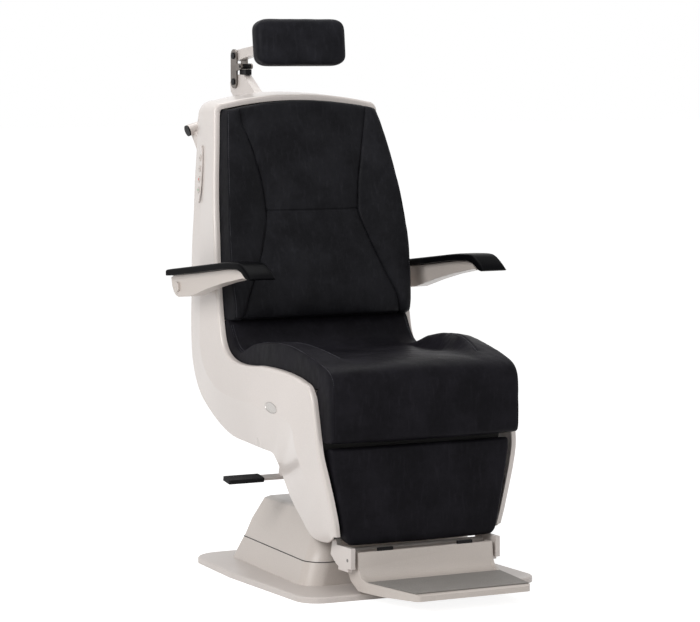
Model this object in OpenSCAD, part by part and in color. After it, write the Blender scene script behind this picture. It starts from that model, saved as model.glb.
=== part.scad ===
// Ophthalmic examination chair on a lifting and swivelling column.
// Millimetres. The origin is the column axis at floor level, the patient faces -Y and +Z is up.

/* [Chair body] */
// Height of the back's top corners above the floor
body_h = 1200; // [1140:10:1260]
// Length of the side shells, leg panel front to back rear edge
body_l = 800; // [760:10:840]
// Width over the side shells beside the seat
body_w = 570; // [540:5:600]
// Wall of the moulded shells
shell_t = 5; // [4:0.5:7]
// Width of the lip that frames the upholstery
lip_w = 16; // [12:1:20]
// How far the rear cover of the back bulges
back_bulge = 16; // [8:1:20]
// Height that the top of the back arches between its corners
crown_rise = 22; // [12:1:30]

/* [Upholstery] */
// Height of the seat's side bolsters over the seat pan
bolster_h = 45; // [30:1:55]
// Crown of the seat and leg cushions
cushion_crown = 6; // [2:1:10]
// Depth of the sewn seams of the back cushion
seam_depth = 4; // [2:0.5:6]
// Crown of the panels of the back cushion
panel_crown = 7; // [3:1:10]
// Thickness of the boards behind the cushions
board_t = 10; // [8:1:14]

/* [Floor plate] */
// Width of the floor plate
plate_w = 668; // [620:4:720]
// Front edge of the floor plate, ahead of the column axis
plate_front = 340; // [330:2:380]
// Rear edge of the floor plate, behind the column axis
plate_rear = 400; // [380:2:430]
// Thickness of the floor plate
plate_t = 15; // [10:1:17]
// Diameter of the anchor holes
anchor_d = 11; // [9:0.5:14]
// Spacing of the anchor holes across the plate
anchor_x = 370; // [340:5:390]
// Spacing of the anchor holes along the plate
anchor_y = 380; // [350:5:400]

/* [Base covers] */
// Half width of the skirt at its front foot
skirt_half = 262; // [250:1:275]
// Front of the skirt, ahead of the column axis
skirt_front = 190; // [180:1:200]
// Rear of the skirt's foot, behind the column axis
skirt_rear = 316; // [300:1:330]
// Height of the seam between skirt and cover
seam_z = 72; // [60:1:90]
// Height of the top of the cover
cover_top = 185; // [170:1:200]
// Wall of the base covers
cover_t = 4; // [3:0.5:6]

/* [Column] */
// Outer diameter of the lifting sleeve
sleeve_d = 120; // [110:1:130]
// Outer diameter of the fixed mast
mast_d = 90; // [80:1:96]
// Wall of mast and sleeve
column_t = 5; // [4:0.5:7]
// Height of the top of the sleeve with the chair lowered
sleeve_top = 295; // [280:1:300]
// Travel of the lift
lift_travel = 180; // [120:5:190]
// Diameter of the lift screw
screw_d = 25; // [20:1:30]

/* [Cradle and tilt drive] */
// Distance between the outer faces of the cradle's cheeks
cradle_w = 240; // [220:2:244]
// Thickness of the cradle's cheeks
cheek_t = 8; // [6:1:12]
// Diameter of the tilt shaft
shaft_d = 30; // [24:1:36]
// Throw of the tilt crank
crank_r = 48; // [46:1:50]
// Distance of the actuator's fixed pin behind the tilt axis
drive_back = 170; // [165:1:175]
// Distance of the actuator's fixed pin below the tilt axis
drive_drop = 108; // [104:1:110]

/* [Armrests] */
// Width of the armrest pads
pad_w = 72; // [60:2:80]
// Distance of each armrest's middle outside the side shell
arm_out = 49; // [47:1:60]
// Width of the armrest brackets
arm_bracket_w = 37; // [30:1:44]

/* [Footrest] */
// How far each side of the footrest's riser stands inside the side shells
foot_inset = 94; // [92:1:104]
// How much narrower than its riser the footrest is at its front edge, on each side
foot_taper = 30; // [20:1:40]
// Distance of the footrest brackets' outer faces from the riser's sides
foot_side = 21; // [18:1:24]

/* [Headrest] */
// Width of the headrest pad
head_w = 262; // [230:2:290]
// Height of the headrest pad
head_h = 124; // [100:2:140]
// Thickness of the headrest pad
head_t = 62; // [50:1:70]
// Length of the headrest link between its two pivots
head_link = 71; // [65:1:80]

/* [Hidden] */
$fn = 48;

// Overrun of a cut, running clearance of a shaft, gap between seated pieces
over = 1;
run = 0.05;
seat_gap = 0.3;
soft_gap = 1;

// Colours
shell_colour = [0.82, 0.78, 0.75];
cover_colour = [0.78, 0.74, 0.71];
leather_colour = [0.11, 0.11, 0.12];
steel_colour = [0.62, 0.62, 0.64];
dark_colour = [0.16, 0.16, 0.17];
tread_colour = [0.5, 0.49, 0.48];

// Places in the chair body, as shares of its length, height and half width
function at_y(share) = share * body_l;
function at_z(share) = share * body_h;
function at_x(share) = share * body_w / 2;
function places(shares) = [for (s = shares) [at_y(s[0]), at_z(s[1])]];

// Widths of the footrest and of its brackets
foot_w = body_w - 2 * foot_inset;
foot_front_w = foot_w - 2 * foot_taper;
foot_bracket_w = foot_w + 2 * foot_side;

function unit(v) = v / norm(v);
function mixed(a, b, t) = a + (b - a) * t;
function curve(a, b, c, d, t) =
    (2 * b + (c - a) * t + (2 * a - 5 * b + 4 * c - d) * t * t + (3 * b - a - 3 * c + d) * t * t * t) / 2;

// Rows of a table with n rows for each of its steps, along a smooth curve through all of them
function finer(rows, n) = [
    for (i = [0:len(rows) - 2]) for (k = [0:n - 1])
        curve(rows[max(i - 1, 0)], rows[i], rows[i + 1], rows[min(i + 2, len(rows) - 1)], k / n),
    rows[len(rows) - 1]];

function quad(a, b, c, d) = [[a, b, c], [a, c, d]];

// A wall between an outer and an inner grid of points. Seen from outside, each row of the outer
// grid runs to the right and the next row lies below it.
module thick_sheet(outer, inner) {
    rows = len(outer);
    cols = len(outer[0]);
    n = rows * cols;
    last = n - cols;
    polyhedron(
        points = concat([for (r = outer) each r], [for (r = inner) each r]),
        faces = concat(
            [for (i = [0:rows - 2]) for (j = [0:cols - 2]) let (a = i * cols + j)
                each quad(a, a + 1, a + cols + 1, a + cols)],
            [for (i = [0:rows - 2]) for (j = [0:cols - 2]) let (a = n + i * cols + j)
                each quad(a, a + cols, a + cols + 1, a + 1)],
            [for (j = [0:cols - 2]) each quad(j, n + j, n + j + 1, j + 1)],
            [for (j = [0:cols - 2]) each quad(last + j, last + j + 1, n + last + j + 1, n + last + j)],
            [for (i = [0:rows - 2]) let (a = i * cols) each quad(a, a + cols, n + a + cols, n + a)],
            [for (i = [0:rows - 2]) let (a = (i + 1) * cols - 1)
                each quad(a, n + a, n + a + cols, a + cols)]));
}

// A plate with a side profile in Y and Z, from x0 to x1
module profile(points, x0, x1) {
    translate([x0, 0, 0]) rotate([90, 0, 90]) linear_extrude(x1 - x0) polygon(points);
}

// A round bar along X through the point y, z
module bar_x(y, z, r, x0, x1) {
    translate([x0, y, z]) rotate([0, 90, 0]) cylinder(r = r, h = x1 - x0);
}

module both_sides() {
    children();
    mirror([1, 0, 0]) children();
}

// Tilt axis of the chair body
tilt_y_share = 0.0375;
tilt_z_share = 0.375;
tilt_y = at_y(tilt_y_share);
tilt_z = at_z(tilt_z_share);

// Side shells. Each row is a section of the shell: the rim's y, z, half width, then those of the
// crease where the side turns inwards, then those of the rear edge, then the bulge of the back.
shell_shares = [
    [0.459, 0.971, 0.863, 0.568, 0.971, 0.839, 0.614, 0.971, 0.821, 1.00],
    [0.425, 0.904, 0.912, 0.563, 0.900, 0.867, 0.611, 0.900, 0.842, 1.00],
    [0.403, 0.842, 0.947, 0.551, 0.838, 0.884, 0.604, 0.834, 0.870, 1.00],
    [0.378, 0.775, 0.979, 0.535, 0.773, 0.905, 0.594, 0.768, 0.895, 1.00],
    [0.359, 0.708, 0.996, 0.509, 0.707, 0.944, 0.589, 0.704, 0.919, 1.10],
    [0.350, 0.642, 1.000, 0.490, 0.643, 0.972, 0.585, 0.643, 0.933, 1.20],
    [0.338, 0.583, 1.000, 0.479, 0.575, 0.989, 0.576, 0.583, 0.947, 1.30],
    [0.325, 0.533, 1.000, 0.475, 0.517, 0.996, 0.575, 0.533, 0.954, 1.40],
    [0.309, 0.496, 1.000, 0.473, 0.483, 1.000, 0.573, 0.488, 0.954, 1.40],
    [0.281, 0.472, 1.000, 0.461, 0.453, 1.000, 0.569, 0.446, 0.951, 1.30],
    [0.233, 0.458, 1.000, 0.438, 0.428, 1.000, 0.556, 0.406, 0.940, 1.10],
    [0.169, 0.453, 1.000, 0.398, 0.406, 1.000, 0.525, 0.373, 0.937, 0.90],
    [0.100, 0.454, 1.000, 0.330, 0.386, 1.000, 0.474, 0.345, 0.933, 0.60],
    [0.025, 0.458, 1.000, 0.238, 0.378, 1.000, 0.388, 0.312, 0.923, 0.30],
    [-0.050, 0.458, 1.000, 0.138, 0.376, 1.000, 0.288, 0.290, 0.919, 0],
    [-0.125, 0.456, 1.000, 0.038, 0.370, 1.000, 0.175, 0.283, 0.919, 0],
    [-0.200, 0.451, 1.000, -0.063, 0.362, 1.000, 0.063, 0.278, 0.919, 0],
    [-0.256, 0.444, 1.000, -0.119, 0.358, 1.000, 0, 0.275, 0.919, 0],
    [-0.300, 0.435, 1.000, -0.163, 0.355, 1.000, -0.028, 0.263, 0.919, 0],
    [-0.328, 0.413, 1.000, -0.193, 0.343, 1.000, -0.048, 0.242, 0.902, 0],
    [-0.340, 0.385, 1.000, -0.206, 0.320, 1.000, -0.065, 0.217, 0.884, 0],
    [-0.356, 0.342, 1.000, -0.219, 0.288, 0.982, -0.088, 0.190, 0.867, 0],
    [-0.369, 0.298, 0.993, -0.238, 0.258, 0.960, -0.110, 0.169, 0.849, 0],
    [-0.376, 0.256, 0.958, -0.263, 0.225, 0.926, -0.140, 0.146, 0.828, 0],
    [-0.378, 0.214, 0.916, -0.281, 0.196, 0.898, -0.173, 0.125, 0.818, 0],
    [-0.3775, 0.184, 0.887, -0.304, 0.165, 0.868, -0.206, 0.113, 0.811, 0],
    [-0.376, 0.155, 0.860, -0.325, 0.138, 0.848, -0.256, 0.109, 0.807, 0],
    [-0.370, 0.128, 0.838, -0.345, 0.1215, 0.832, -0.306, 0.111, 0.811, 0]];
shell_steps = 2;
back_rows = 13;
rim_inner_r = 3;
rim_r = shell_t + rim_inner_r;
shell_rows = [for (s = finer(shell_shares, shell_steps))
    [at_y(s[0]), at_z(s[1]), at_x(s[2]), at_y(s[3]), at_z(s[4]), at_x(s[5]),
     at_y(s[6]), at_z(s[7]), at_x(s[8]), s[9] * back_bulge]];

// The way into the shell at the rim, and out of the rear edge, of one row
function row_before(i) = shell_rows[max(i - 1, 0)];
function row_after(i) = shell_rows[min(i + 1, len(shell_rows) - 1)];
function rim_inwards(i) = let (t = unit([row_after(i)[0] - row_before(i)[0], row_after(i)[1] - row_before(i)[1]]))
    [0, -t[1], t[0]];
function edge_outwards(i) = let (t = unit([row_after(i)[6] - row_before(i)[6], row_after(i)[7] - row_before(i)[7]]))
    [0, -t[1], t[0]];

// One section of a shell: lip, rounded rim corner, crease and rear edge, drawn in by a depth
rim_angles = [0, 45, 90];
function section(rim, side, inwards, crease, edge, depth) =
    let (centre = rim - rim_r * side + rim_r * inwards, r = rim_r - depth)
    concat([rim - lip_w * side + depth * inwards],
        [for (a = rim_angles) centre + r * (sin(a) * side - cos(a) * inwards)],
        [crease - depth * side, edge - depth * side]);
function side_section(i, depth) = let (s = shell_rows[i])
    section([s[2], s[0], s[1]], [1, 0, 0], rim_inwards(i), [s[5], s[3], s[4]], [s[8], s[6], s[7]], depth);
function mirrored(points) = [for (p = points) [-p[0], p[1], p[2]]];

// The crown of the back follows corner arcs, then an arch. Each path is centre x, centre z,
// corner width, corner height and y, in shares of the chair body.
crown_rim_shares = [0.761, 0.984, 0.091, 0.0217, 0.466];
crown_crease_shares = [0.712, 0.981, 0.119, 0.0283, 0.569];
crown_edge_shares = [0.656, 0.978, 0.158, 0.0317, 0.616];
crown_angles = [0, 30, 60, 90];
crown_arch_shares = [0, 0.2, 0.4, 0.6, 0.8];
function crown_corner(s, a) = [at_x(s[0] + s[2] * cos(a)), at_y(s[4]), at_z(s[1] + s[3] * sin(a))];
function crown_arch(s, k) = [at_x(s[0]) * k, at_y(s[4]), at_z(s[1] + s[3]) + crown_rise * (1 - k * k)];
function arch_side(k) = unit([2 * crown_rise * k / at_x(crown_rim_shares[0]), 0, 1]);
function crown_half(depth) = concat(
    [for (k = crown_arch_shares) section(crown_arch(crown_rim_shares, k), arch_side(k), [0, 1, 0],
        crown_arch(crown_crease_shares, k), crown_arch(crown_edge_shares, k), depth)],
    [for (i = [len(crown_angles) - 1:-1:0]) let (a = crown_angles[i])
        section(crown_corner(crown_rim_shares, a), [cos(a), 0, sin(a)], [0, 1, 0],
            crown_corner(crown_crease_shares, a), crown_corner(crown_edge_shares, a), depth)],
    [side_section(0, depth)]);
function crown_rows(depth) = let (half = crown_half(depth), n = len(half))
    concat([for (i = [n - 1:-1:1]) mirrored(half[i])], half);

// Fixings of the shells: y, z and end shares of the standoffs that hold them to the frame
mount_shares = [[-0.225, 0.396, 1], [0.188, 0.400, 1], [0.400, 0.467, 1], [-0.300, 0.333, 0.988]];
mount_r = 8;

// Frame plates
frame_x = 126;
frame_t = 8;
frame_tube_r = 13;
frame_tube_shares = [[-0.281, 0.400], [0.375, 0.396], [0.438, 0.620], [0.484, 0.880]];

// Armrest pivots
arm_y_share = 0.458;
arm_z_share = 0.607;
arm_boss_r = 18;
arm_pin_r = 8;
arm_head_r = 13;
arm_head_t = 5;
arm_x = body_w / 2 + arm_out;

// Control panel on the left rear edge of the back
panel_y_share = 0.543;
panel_z_share = 0.849;
panel_x_share = 0.892;
panel_turn = -8;
panel_lean = 3.6;
panel_l = 152;
panel_w = 34;
panel_t = 3;
button_r = 8.5;
button_gap = 0.4;
button_pitch = 28;
button_l = 6;
button_out = 1.6;
lamp_r = 1.5;

module at_panel() {
    translate([-at_x(panel_x_share), at_y(panel_y_share), at_z(panel_z_share)])
        rotate([0, 0, panel_turn]) rotate([0, panel_lean, 0]) children();
}

module at_button(place) {
    at_panel() translate([0, 0, place * button_pitch]) children();
}

module right_shell() {
    n = len(shell_rows) - 1;
    difference() {
        thick_sheet([for (i = [0:n]) side_section(i, 0)], [for (i = [0:n]) side_section(i, shell_t)]);
        bar_x(at_y(arm_y_share), at_z(arm_z_share), arm_boss_r + soft_gap / 2, 0, arm_x);
    }
}

module side_shell_right() {
    color(shell_colour) right_shell();
}

module side_shell_left() {
    color(shell_colour) difference() {
        mirror([1, 0, 0]) right_shell();
        for (place = [-1.5:1.5]) at_button(place) bar_x(0, 0, button_r + button_gap, -lip_w, lip_w);
    }
}

module back_crown() {
    color(shell_colour) thick_sheet(crown_rows(0), crown_rows(shell_t));
}

// Rear cover of the back, from the crown down to the seat
function back_edge(depth) = [for (r = crown_rows(depth)) r[len(r) - 1]];
function back_row(i, depth) = let (edge = back_edge(0), s = shell_rows[i], outwards = edge_outwards(i))
    [for (p = edge) let (k = p[0] / edge[len(edge) - 1][0], hump = 1 - pow(abs(k), 3))
        [s[8] * k, s[6], s[7]] + s[9] * hump * outwards
            - depth * unit([sign(k) * pow(abs(k), 3), 0, 0] + hump * outwards)];
function backwards(rows) = [for (r = rows) [for (j = [len(r) - 1:-1:0]) r[j]]];
crown_turn_shares = [0.35, 0.7];
crown_turn_ease = 0.5;
function back_grid(depth) = let (top = back_edge(depth), next = back_row(1, depth))
    backwards(concat([top],
        [for (t = crown_turn_shares) [for (j = [0:len(top) - 1]) let (a = top[j], b = next[j])
            [mixed(a[0], b[0], t), mixed(a[1], b[1], sin(90 * t)) + crown_turn_ease * sin(180 * t),
             mixed(a[2], b[2], 1 - cos(90 * t))]]],
        [for (i = [1:back_rows * shell_steps]) back_row(i, depth)]));

// How far back the rear cover reaches at a half width
function back_face(x) = max([for (i = [1:back_rows]) let (s = shell_rows[i]) s[6] + s[9] * (1 - pow(x / s[8], 3))]);

module back_shell() {
    color(shell_colour) thick_sheet(back_grid(0), back_grid(shell_t));
}

// Rear and bottom cover of the leg panel: y, z and half width shares of its line
leg_cover_shares = [[-0.1315, 0.240, 0.866], [-0.188, 0.208, 0.86], [-0.269, 0.160, 0.83],
    [-0.284, 0.140, 0.81], [-0.286, 0.124, 0.79], [-0.296, 0.1165, 0.785], [-0.315, 0.116, 0.785]];
leg_cover_cols = [1, 0.9, -0.9, -1];
leg_cover_t = 3;
function leg_row(i) = let (s = leg_cover_shares[i]) [at_y(s[0]), at_z(s[1]), at_x(s[2])];
function leg_outwards(i) =
    let (a = leg_row(max(i - 1, 0)), b = leg_row(min(i + 1, len(leg_cover_shares) - 1)), t = unit([b[0] - a[0], b[1] - a[1]]))
    [0, -t[1], t[0]];
function leg_grid(depth) = [for (i = [0:len(leg_cover_shares) - 1]) let (r = leg_row(i))
    [for (k = leg_cover_cols) [r[2] * k, r[0], r[1]] - depth * leg_outwards(i)]];

module leg_cover() {
    slot_w = foot_bracket_t + 2 * seat_gap;
    color(shell_colour) difference() {
        thick_sheet(leg_grid(0), leg_grid(leg_cover_t));
        both_sides() translate([foot_bracket_w / 2 + seat_gap - slot_w, 2 * leg_board_y, 0])
            cube([slot_w, leg_rear_y - 2 * leg_board_y + 3 * leg_cover_t, at_z(leg_bar_low_share) + seat_gap]);
    }
}

// Back cushion. Each row is z, the y of the stitched edge, the y of the sewn seam, the seam's half
// width, the y of the rear, the half width of the stitched edge and that of the plain rear edge.
back_shares = [
    [0.986, 0.462, 0.462, 0.640, 0.482, 0.735, 0.740, 1.00, 0.981],
    [0.991, 0.447, 0.443, 0.650, 0.482, 0.755, 0.757, 1.00, 0.979],
    [0.990, 0.436, 0.430, 0.655, 0.481, 0.770, 0.772, 1.00, 0.976],
    [0.981, 0.426, 0.421, 0.650, 0.480, 0.784, 0.790, 1.00, 0.972],
    [0.959, 0.410, 0.419, 0.639, 0.474, 0.802, 0.812, 0.75, 0.957],
    [0.933, 0.395, 0.405, 0.607, 0.463, 0.821, 0.831, 0.45, 0.933],
    [0.906, 0.380, 0.391, 0.572, 0.449, 0.841, 0.850, 0.20, 0.906],
    [0.875, 0.364, 0.380, 0.540, 0.436, 0.858, 0.868, 0.05, 0.875],
    [0.843, 0.349, 0.371, 0.509, 0.423, 0.874, 0.885, 0, 0.843],
    [0.813, 0.335, 0.364, 0.491, 0.409, 0.889, 0.900, 0, 0.813],
    [0.780, 0.323, 0.357, 0.480, 0.398, 0.903, 0.913, 0, 0.780],
    [0.771, 0.320, 0.361, 0.477, 0.394, 0.907, 0.917, 0, 0.771],
    [0.762, 0.318, 0.351, 0.480, 0.391, 0.911, 0.920, 0, 0.762],
    [0.742, 0.311, 0.340, 0.498, 0.385, 0.918, 0.926, 0, 0.742],
    [0.712, 0.301, 0.325, 0.540, 0.376, 0.926, 0.934, 0, 0.712],
    [0.669, 0.291, 0.304, 0.607, 0.369, 0.929, 0.938, 0, 0.669],
    [0.628, 0.284, 0.290, 0.684, 0.364, 0.928, 0.938, 0, 0.628],
    [0.587, 0.276, 0.276, 0.765, 0.359, 0.918, 0.938, 0, 0.587],
    [0.563, 0.274, 0.274, 0.793, 0.356, 0.912, 0.938, 0, 0.563],
    [0.546, 0.280, 0.280, 0.807, 0.355, 0.909, 0.936, 0, 0.549],
    [0.539, 0.300, 0.300, 0.814, 0.355, 0.905, 0.932, 0, 0.541]];
panel_cols = [0, 0.35, 0.7, 0.93, 1];
wing_cols = [0.08, 0.3, 0.65, 0.92, 1];
band_shares = [[0.35, 0.30], [1, 0.75]];
function back_rise(s, x) = s[7] * crown_rise * max(1 - pow(x / at_x(s[5]), 2), 0);
function panel_point(s, k) = let (x = k * at_x(s[3]))
    [x, at_y(s[2]) - (panel_crown + seam_depth) * (1 - pow(k, 4)), at_z(s[0]) + back_rise(s, x)];
function wing_point(s, k) = let (x = mixed(at_x(s[3]), at_x(s[5]), k))
    [x, mixed(at_y(s[2]), at_y(s[1]), k) - panel_crown * pow(max(sin(180 * k), 0), 0.6), at_z(s[0]) + back_rise(s, x)];
function band_point(s, b) = [mixed(at_x(s[5]), at_x(s[6]), b[0]), mixed(at_y(s[1]), at_y(s[4]), b[1]), at_z(s[0])];
function back_half(s) = concat([for (k = panel_cols) panel_point(s, k)],
    [for (k = wing_cols) wing_point(s, k)], [for (b = band_shares) band_point(s, b)]);
function whole_row(half) = concat(mirrored([for (i = [len(half) - 1:-1:1]) half[i]]), half);
function flat_row(row, s) = [for (p = row) [p[0], at_y(s[4]), at_z(s[8]) + back_rise(s, p[0])]];

module back_cushion() {
    front = [for (s = back_shares) whole_row(back_half(s))];
    color(leather_colour) thick_sheet(front, [for (i = [0:len(front) - 1]) flat_row(front[i], back_shares[i])]);
}

// Seat cushion. Each row is the y and z of the cover, those of the underside, and the height of
// the side bolsters as a share of bolster_h. Rows run from the back over the nose to the bottom.
seat_shares = [
    [0.316, 0.5345, 0.340, 0.527, 0],
    [0.299, 0.525, 0.328, 0.510, 0],
    [0.278, 0.505, 0.313, 0.488, 0],
    [0.250, 0.486, 0.290, 0.463, 0],
    [0.213, 0.475, 0.256, 0.442, 0.05],
    [0.175, 0.472, 0.206, 0.434, 0.38],
    [0.138, 0.471, 0.144, 0.432, 0.67],
    [0.094, 0.470, 0.094, 0.432, 0.85],
    [0.044, 0.471, 0.044, 0.432, 0.96],
    [-0.010, 0.472, -0.010, 0.432, 1.00],
    [-0.064, 0.474, -0.064, 0.432, 0.96],
    [-0.130, 0.478, -0.130, 0.432, 0.82],
    [-0.198, 0.480, -0.198, 0.432, 0.60],
    [-0.256, 0.482, -0.256, 0.432, 0.35],
    [-0.313, 0.481, -0.313, 0.432, 0.15],
    [-0.363, 0.476, -0.340, 0.430, 0.04],
    [-0.394, 0.467, -0.350, 0.423, 0],
    [-0.411, 0.452, -0.356, 0.412, 0],
    [-0.419, 0.429, -0.359, 0.396, 0],
    [-0.421, 0.400, -0.360, 0.383, 0],
    [-0.421, 0.367, -0.360, 0.367, 0],
    [-0.420, 0.342, -0.360, 0.346, 0],
    [-0.414, 0.329, -0.361, 0.335, 0],
    [-0.398, 0.324, -0.366, 0.330, 0],
    [-0.378, 0.3235, -0.372, 0.328, 0]];
// Columns: share of the half width, share of the bolster, share of the way to the underside
seat_cols = [[0, 0, 0], [0.25, 0, 0], [0.5, 0, 0], [0.7, 0, 0], [0.79, 0.04, 0], [0.84, 0.3, 0],
    [0.88, 0.68, 0], [0.92, 0.92, 0], [0.955, 1, 0.01], [0.98, 0.98, 0.06], [0.993, 0.8, 0.25],
    [1, 0, 0.7]];
seat_half = body_w / 2 - lip_w - soft_gap;
function seat_point(s, c) =
    let (cover = [at_y(s[0]), at_z(s[1])], under = [at_y(s[2]), at_z(s[3])], out = unit(cover - under),
         q = mixed(cover, under, c[2]) + cushion_crown * (1 - c[0] * c[0]) * out)
    [c[0] * seat_half, q[0], q[1] + c[1] * s[4] * bolster_h];
function under_point(s, c) = [c[0] * seat_half, at_y(s[2]), at_z(s[3])];

module seat_cushion() {
    color(leather_colour) thick_sheet(
        [for (s = seat_shares) whole_row([for (c = seat_cols) seat_point(s, c)])],
        [for (s = seat_shares) whole_row([for (c = seat_cols) under_point(s, c)])]);
}

// Leg cushion. Each row is the y and z of the cover, the z of its rear and the half width.
leg_shares = [
    [-0.344, 0.3015, 0.298, 0.905], [-0.363, 0.305, 0.296, 0.905], [-0.377, 0.303, 0.292, 0.903],
    [-0.384, 0.295, 0.287, 0.899], [-0.386, 0.267, 0.267, 0.883], [-0.389, 0.233, 0.233, 0.857],
    [-0.391, 0.200, 0.200, 0.827], [-0.393, 0.167, 0.167, 0.797], [-0.394, 0.138, 0.140, 0.770],
    [-0.393, 0.122, 0.128, 0.752], [-0.386, 0.112, 0.122, 0.730], [-0.372, 0.109, 0.120, 0.710],
    [-0.354, 0.110, 0.119, 0.700]];
leg_cols = [[0, 0], [0.3, 0], [0.6, 0], [0.82, 0], [0.93, 0.01], [0.97, 0.06], [0.99, 0.25], [1, 0.8]];
leg_board_y_share = -0.315;
leg_board_y = at_y(leg_board_y_share);
leg_back_y = leg_board_y - board_t - seat_gap;
function leg_point(s, c) = [c[0] * at_x(s[3]),
    mixed(at_y(s[0]), leg_back_y, c[1]) - cushion_crown * (1 - c[0] * c[0]), mixed(at_z(s[1]), at_z(s[2]), c[1])];

module leg_cushion() {
    color(leather_colour) thick_sheet(
        [for (s = leg_shares) whole_row([for (c = leg_cols) leg_point(s, c)])],
        [for (s = leg_shares) whole_row([for (c = leg_cols) [c[0] * at_x(s[3]), leg_back_y, at_z(s[2])]])]);
}

// Boards behind the cushions
seat_board_inset = 45;
seat_board_half = body_w / 2 - seat_board_inset;
back_board_inset = 80;
back_board_half = body_w / 2 - back_board_inset;
back_board_rows = [4:len(back_shares) - 2];
seat_board_rear_share = 0.356;
seat_bend_shares = [[-0.3125, 0], [-0.335, -0.008], [-0.3475, -0.018], [-0.3556, -0.0405], [-0.3565, -0.0985]];
seat_under_shares = [[-0.344, -0.0985], [-0.344, -0.0405], [-0.337, -0.0265], [-0.3275, -0.0175]];
leg_board_shares = [[0.78, 0.121], [0.88, 0.331]];
seat_top_z = at_z(seat_shares[9][3]) - seat_gap;
function back_board_line(depth) = [for (i = back_board_rows) let (s = back_shares[i])
    [at_y(s[4]) + seat_gap + depth, at_z(s[0])]];
function reversed(list) = [for (i = [len(list) - 1:-1:0]) list[i]];

module cushion_boards() {
    seat_rear = at_y(seat_board_rear_share);
    low = [at_x(leg_board_shares[0][0]), at_z(leg_board_shares[0][1])];
    high = [at_x(leg_board_shares[1][0]), at_z(leg_board_shares[1][1])];
    color("tan") {
        profile(concat([[seat_rear, seat_top_z - board_t], [seat_rear, seat_top_z]],
            [for (s = concat(seat_bend_shares, seat_under_shares)) [at_y(s[0]), seat_top_z + at_z(s[1])]],
            [[leg_board_y - seat_gap, seat_top_z - board_t]]), -seat_board_half, seat_board_half);
        translate([0, leg_board_y, 0]) rotate([90, 0, 0]) linear_extrude(board_t)
            polygon([[-low[0], low[1]], [low[0], low[1]], [high[0], high[1]], [-high[0], high[1]]]);
        profile(concat(back_board_line(0), reversed(back_board_line(board_t))), -back_board_half, back_board_half);
    }
}

// Frame: two side plates that follow the cushions, and the tubes between them
frame_rear_shares = [[0.545, 0.945], [0.520, 0.850], [0.505, 0.720], [0.498, 0.640], [0.495, 0.570],
    [0.470, 0.450], [0.388, 0.370], [0.300, 0.350], [0.100, 0.343], [-0.025, 0.343], [-0.250, 0.352],
    [-0.2835, 0.330]];
leg_tube_share = 0.250;
leg_tube_r = 7;
leg_bar_h = 20;
leg_bar_low_share = 0.122;
leg_rear_y = at_y(leg_cover_shares[5][0]) - seat_gap;
function frame_profile() = concat(
    [[leg_board_y, at_z(leg_bar_low_share)], [leg_board_y, seat_top_z - board_t],
     [at_y(seat_board_rear_share), seat_top_z - board_t]],
    reversed(back_board_line(board_t)), places(frame_rear_shares), [[leg_rear_y, at_z(leg_bar_low_share)]]);

module seat_frame() {
    outer = frame_x + frame_t;
    mid_y = (leg_board_y + leg_rear_y) / 2;
    bar_z = at_z(leg_bar_low_share);
    color(steel_colour) difference() {
        union() {
            both_sides() profile(frame_profile(), frame_x, outer);
            for (s = frame_tube_shares) bar_x(at_y(s[0]), at_z(s[1]), frame_tube_r, -outer, outer);
            bar_x(mid_y, at_z(leg_tube_share), leg_tube_r, -outer, outer);
            translate([-foot_bracket_w / 2, leg_board_y, bar_z])
                cube([foot_bracket_w, leg_rear_y - leg_board_y, leg_bar_h]);
        }
        bar_x(tilt_y, tilt_z, shaft_d / 2, -body_w, body_w);
    }
}

module shell_mounts() {
    color(steel_colour) both_sides() for (s = mount_shares)
        bar_x(at_y(s[0]), at_z(s[1]), mount_r, frame_x + frame_t, at_x(s[2]) - shell_t - seat_gap);
}

// Bare oval badges on the sides of the seat
badge_y_share = -0.049;
badge_z_share = 0.375;
badge_l = 66;
badge_h = 27;
badge_t = 1.5;
badge_tilt = 5;

module badges() {
    color(steel_colour) both_sides()
        translate([body_w / 2, at_y(badge_y_share), at_z(badge_z_share)]) rotate([badge_tilt, 0, 0])
            profile([for (a = [0:15:345]) [badge_l / 2 * cos(a), badge_h / 2 * sin(a)]], 0, badge_t);
}

module control_panel() {
    color(cover_colour) at_panel() difference() {
        profile([for (a = [0:10:350]) [panel_w / 2 * cos(a), panel_l / 2 * sin(a)]], -panel_t, 0);
        for (place = [-1.5:1.5]) bar_x(0, place * button_pitch, button_r + button_gap, -lip_w, lip_w);
        bar_x(0, panel_l / 2 - button_r, lamp_r, -lip_w, lip_w);
    }
}

module button(place) {
    at_button(place) bar_x(0, 0, button_r, -panel_t - button_out, button_l - panel_t - button_out);
}

module back_up_button() { color(cover_colour) button(1.5); }
module back_down_button() { color(cover_colour) button(0.5); }
module lift_up_button() { color("firebrick") button(-0.5); }
module lift_down_button() { color("seagreen") button(-1.5); }

// Push handle behind the back: an arched tube on two webs
handle_r = 15;
handle_wall = 2.5;
handle_arc_r = 777;
handle_angle = 18;
handle_y_share = 0.675;
handle_z_share = 0.942;
handle_web_inset = 21.1;
handle_web_t = 7;
handle_web_shares = [[0.626, 0.884], [0.694, 0.936], [0.690, 0.945], [0.662, 0.945], [0.634, 0.918]];
handle_foot_shares = [0.912, 0.886];
plug_t = 4;
handle_y = at_y(handle_y_share);
handle_centre_z = at_z(handle_z_share) - handle_arc_r * cos(handle_angle);
handle_web_x = handle_arc_r * sin(handle_angle) - handle_web_inset;

module handle_arc(r) {
    translate([0, handle_y, handle_centre_z]) rotate([90, 0, 0]) rotate([0, 0, 90 - handle_angle])
        rotate_extrude(angle = 2 * handle_angle, $fn = 96) translate([handle_arc_r, 0]) circle(r = r);
}

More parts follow.
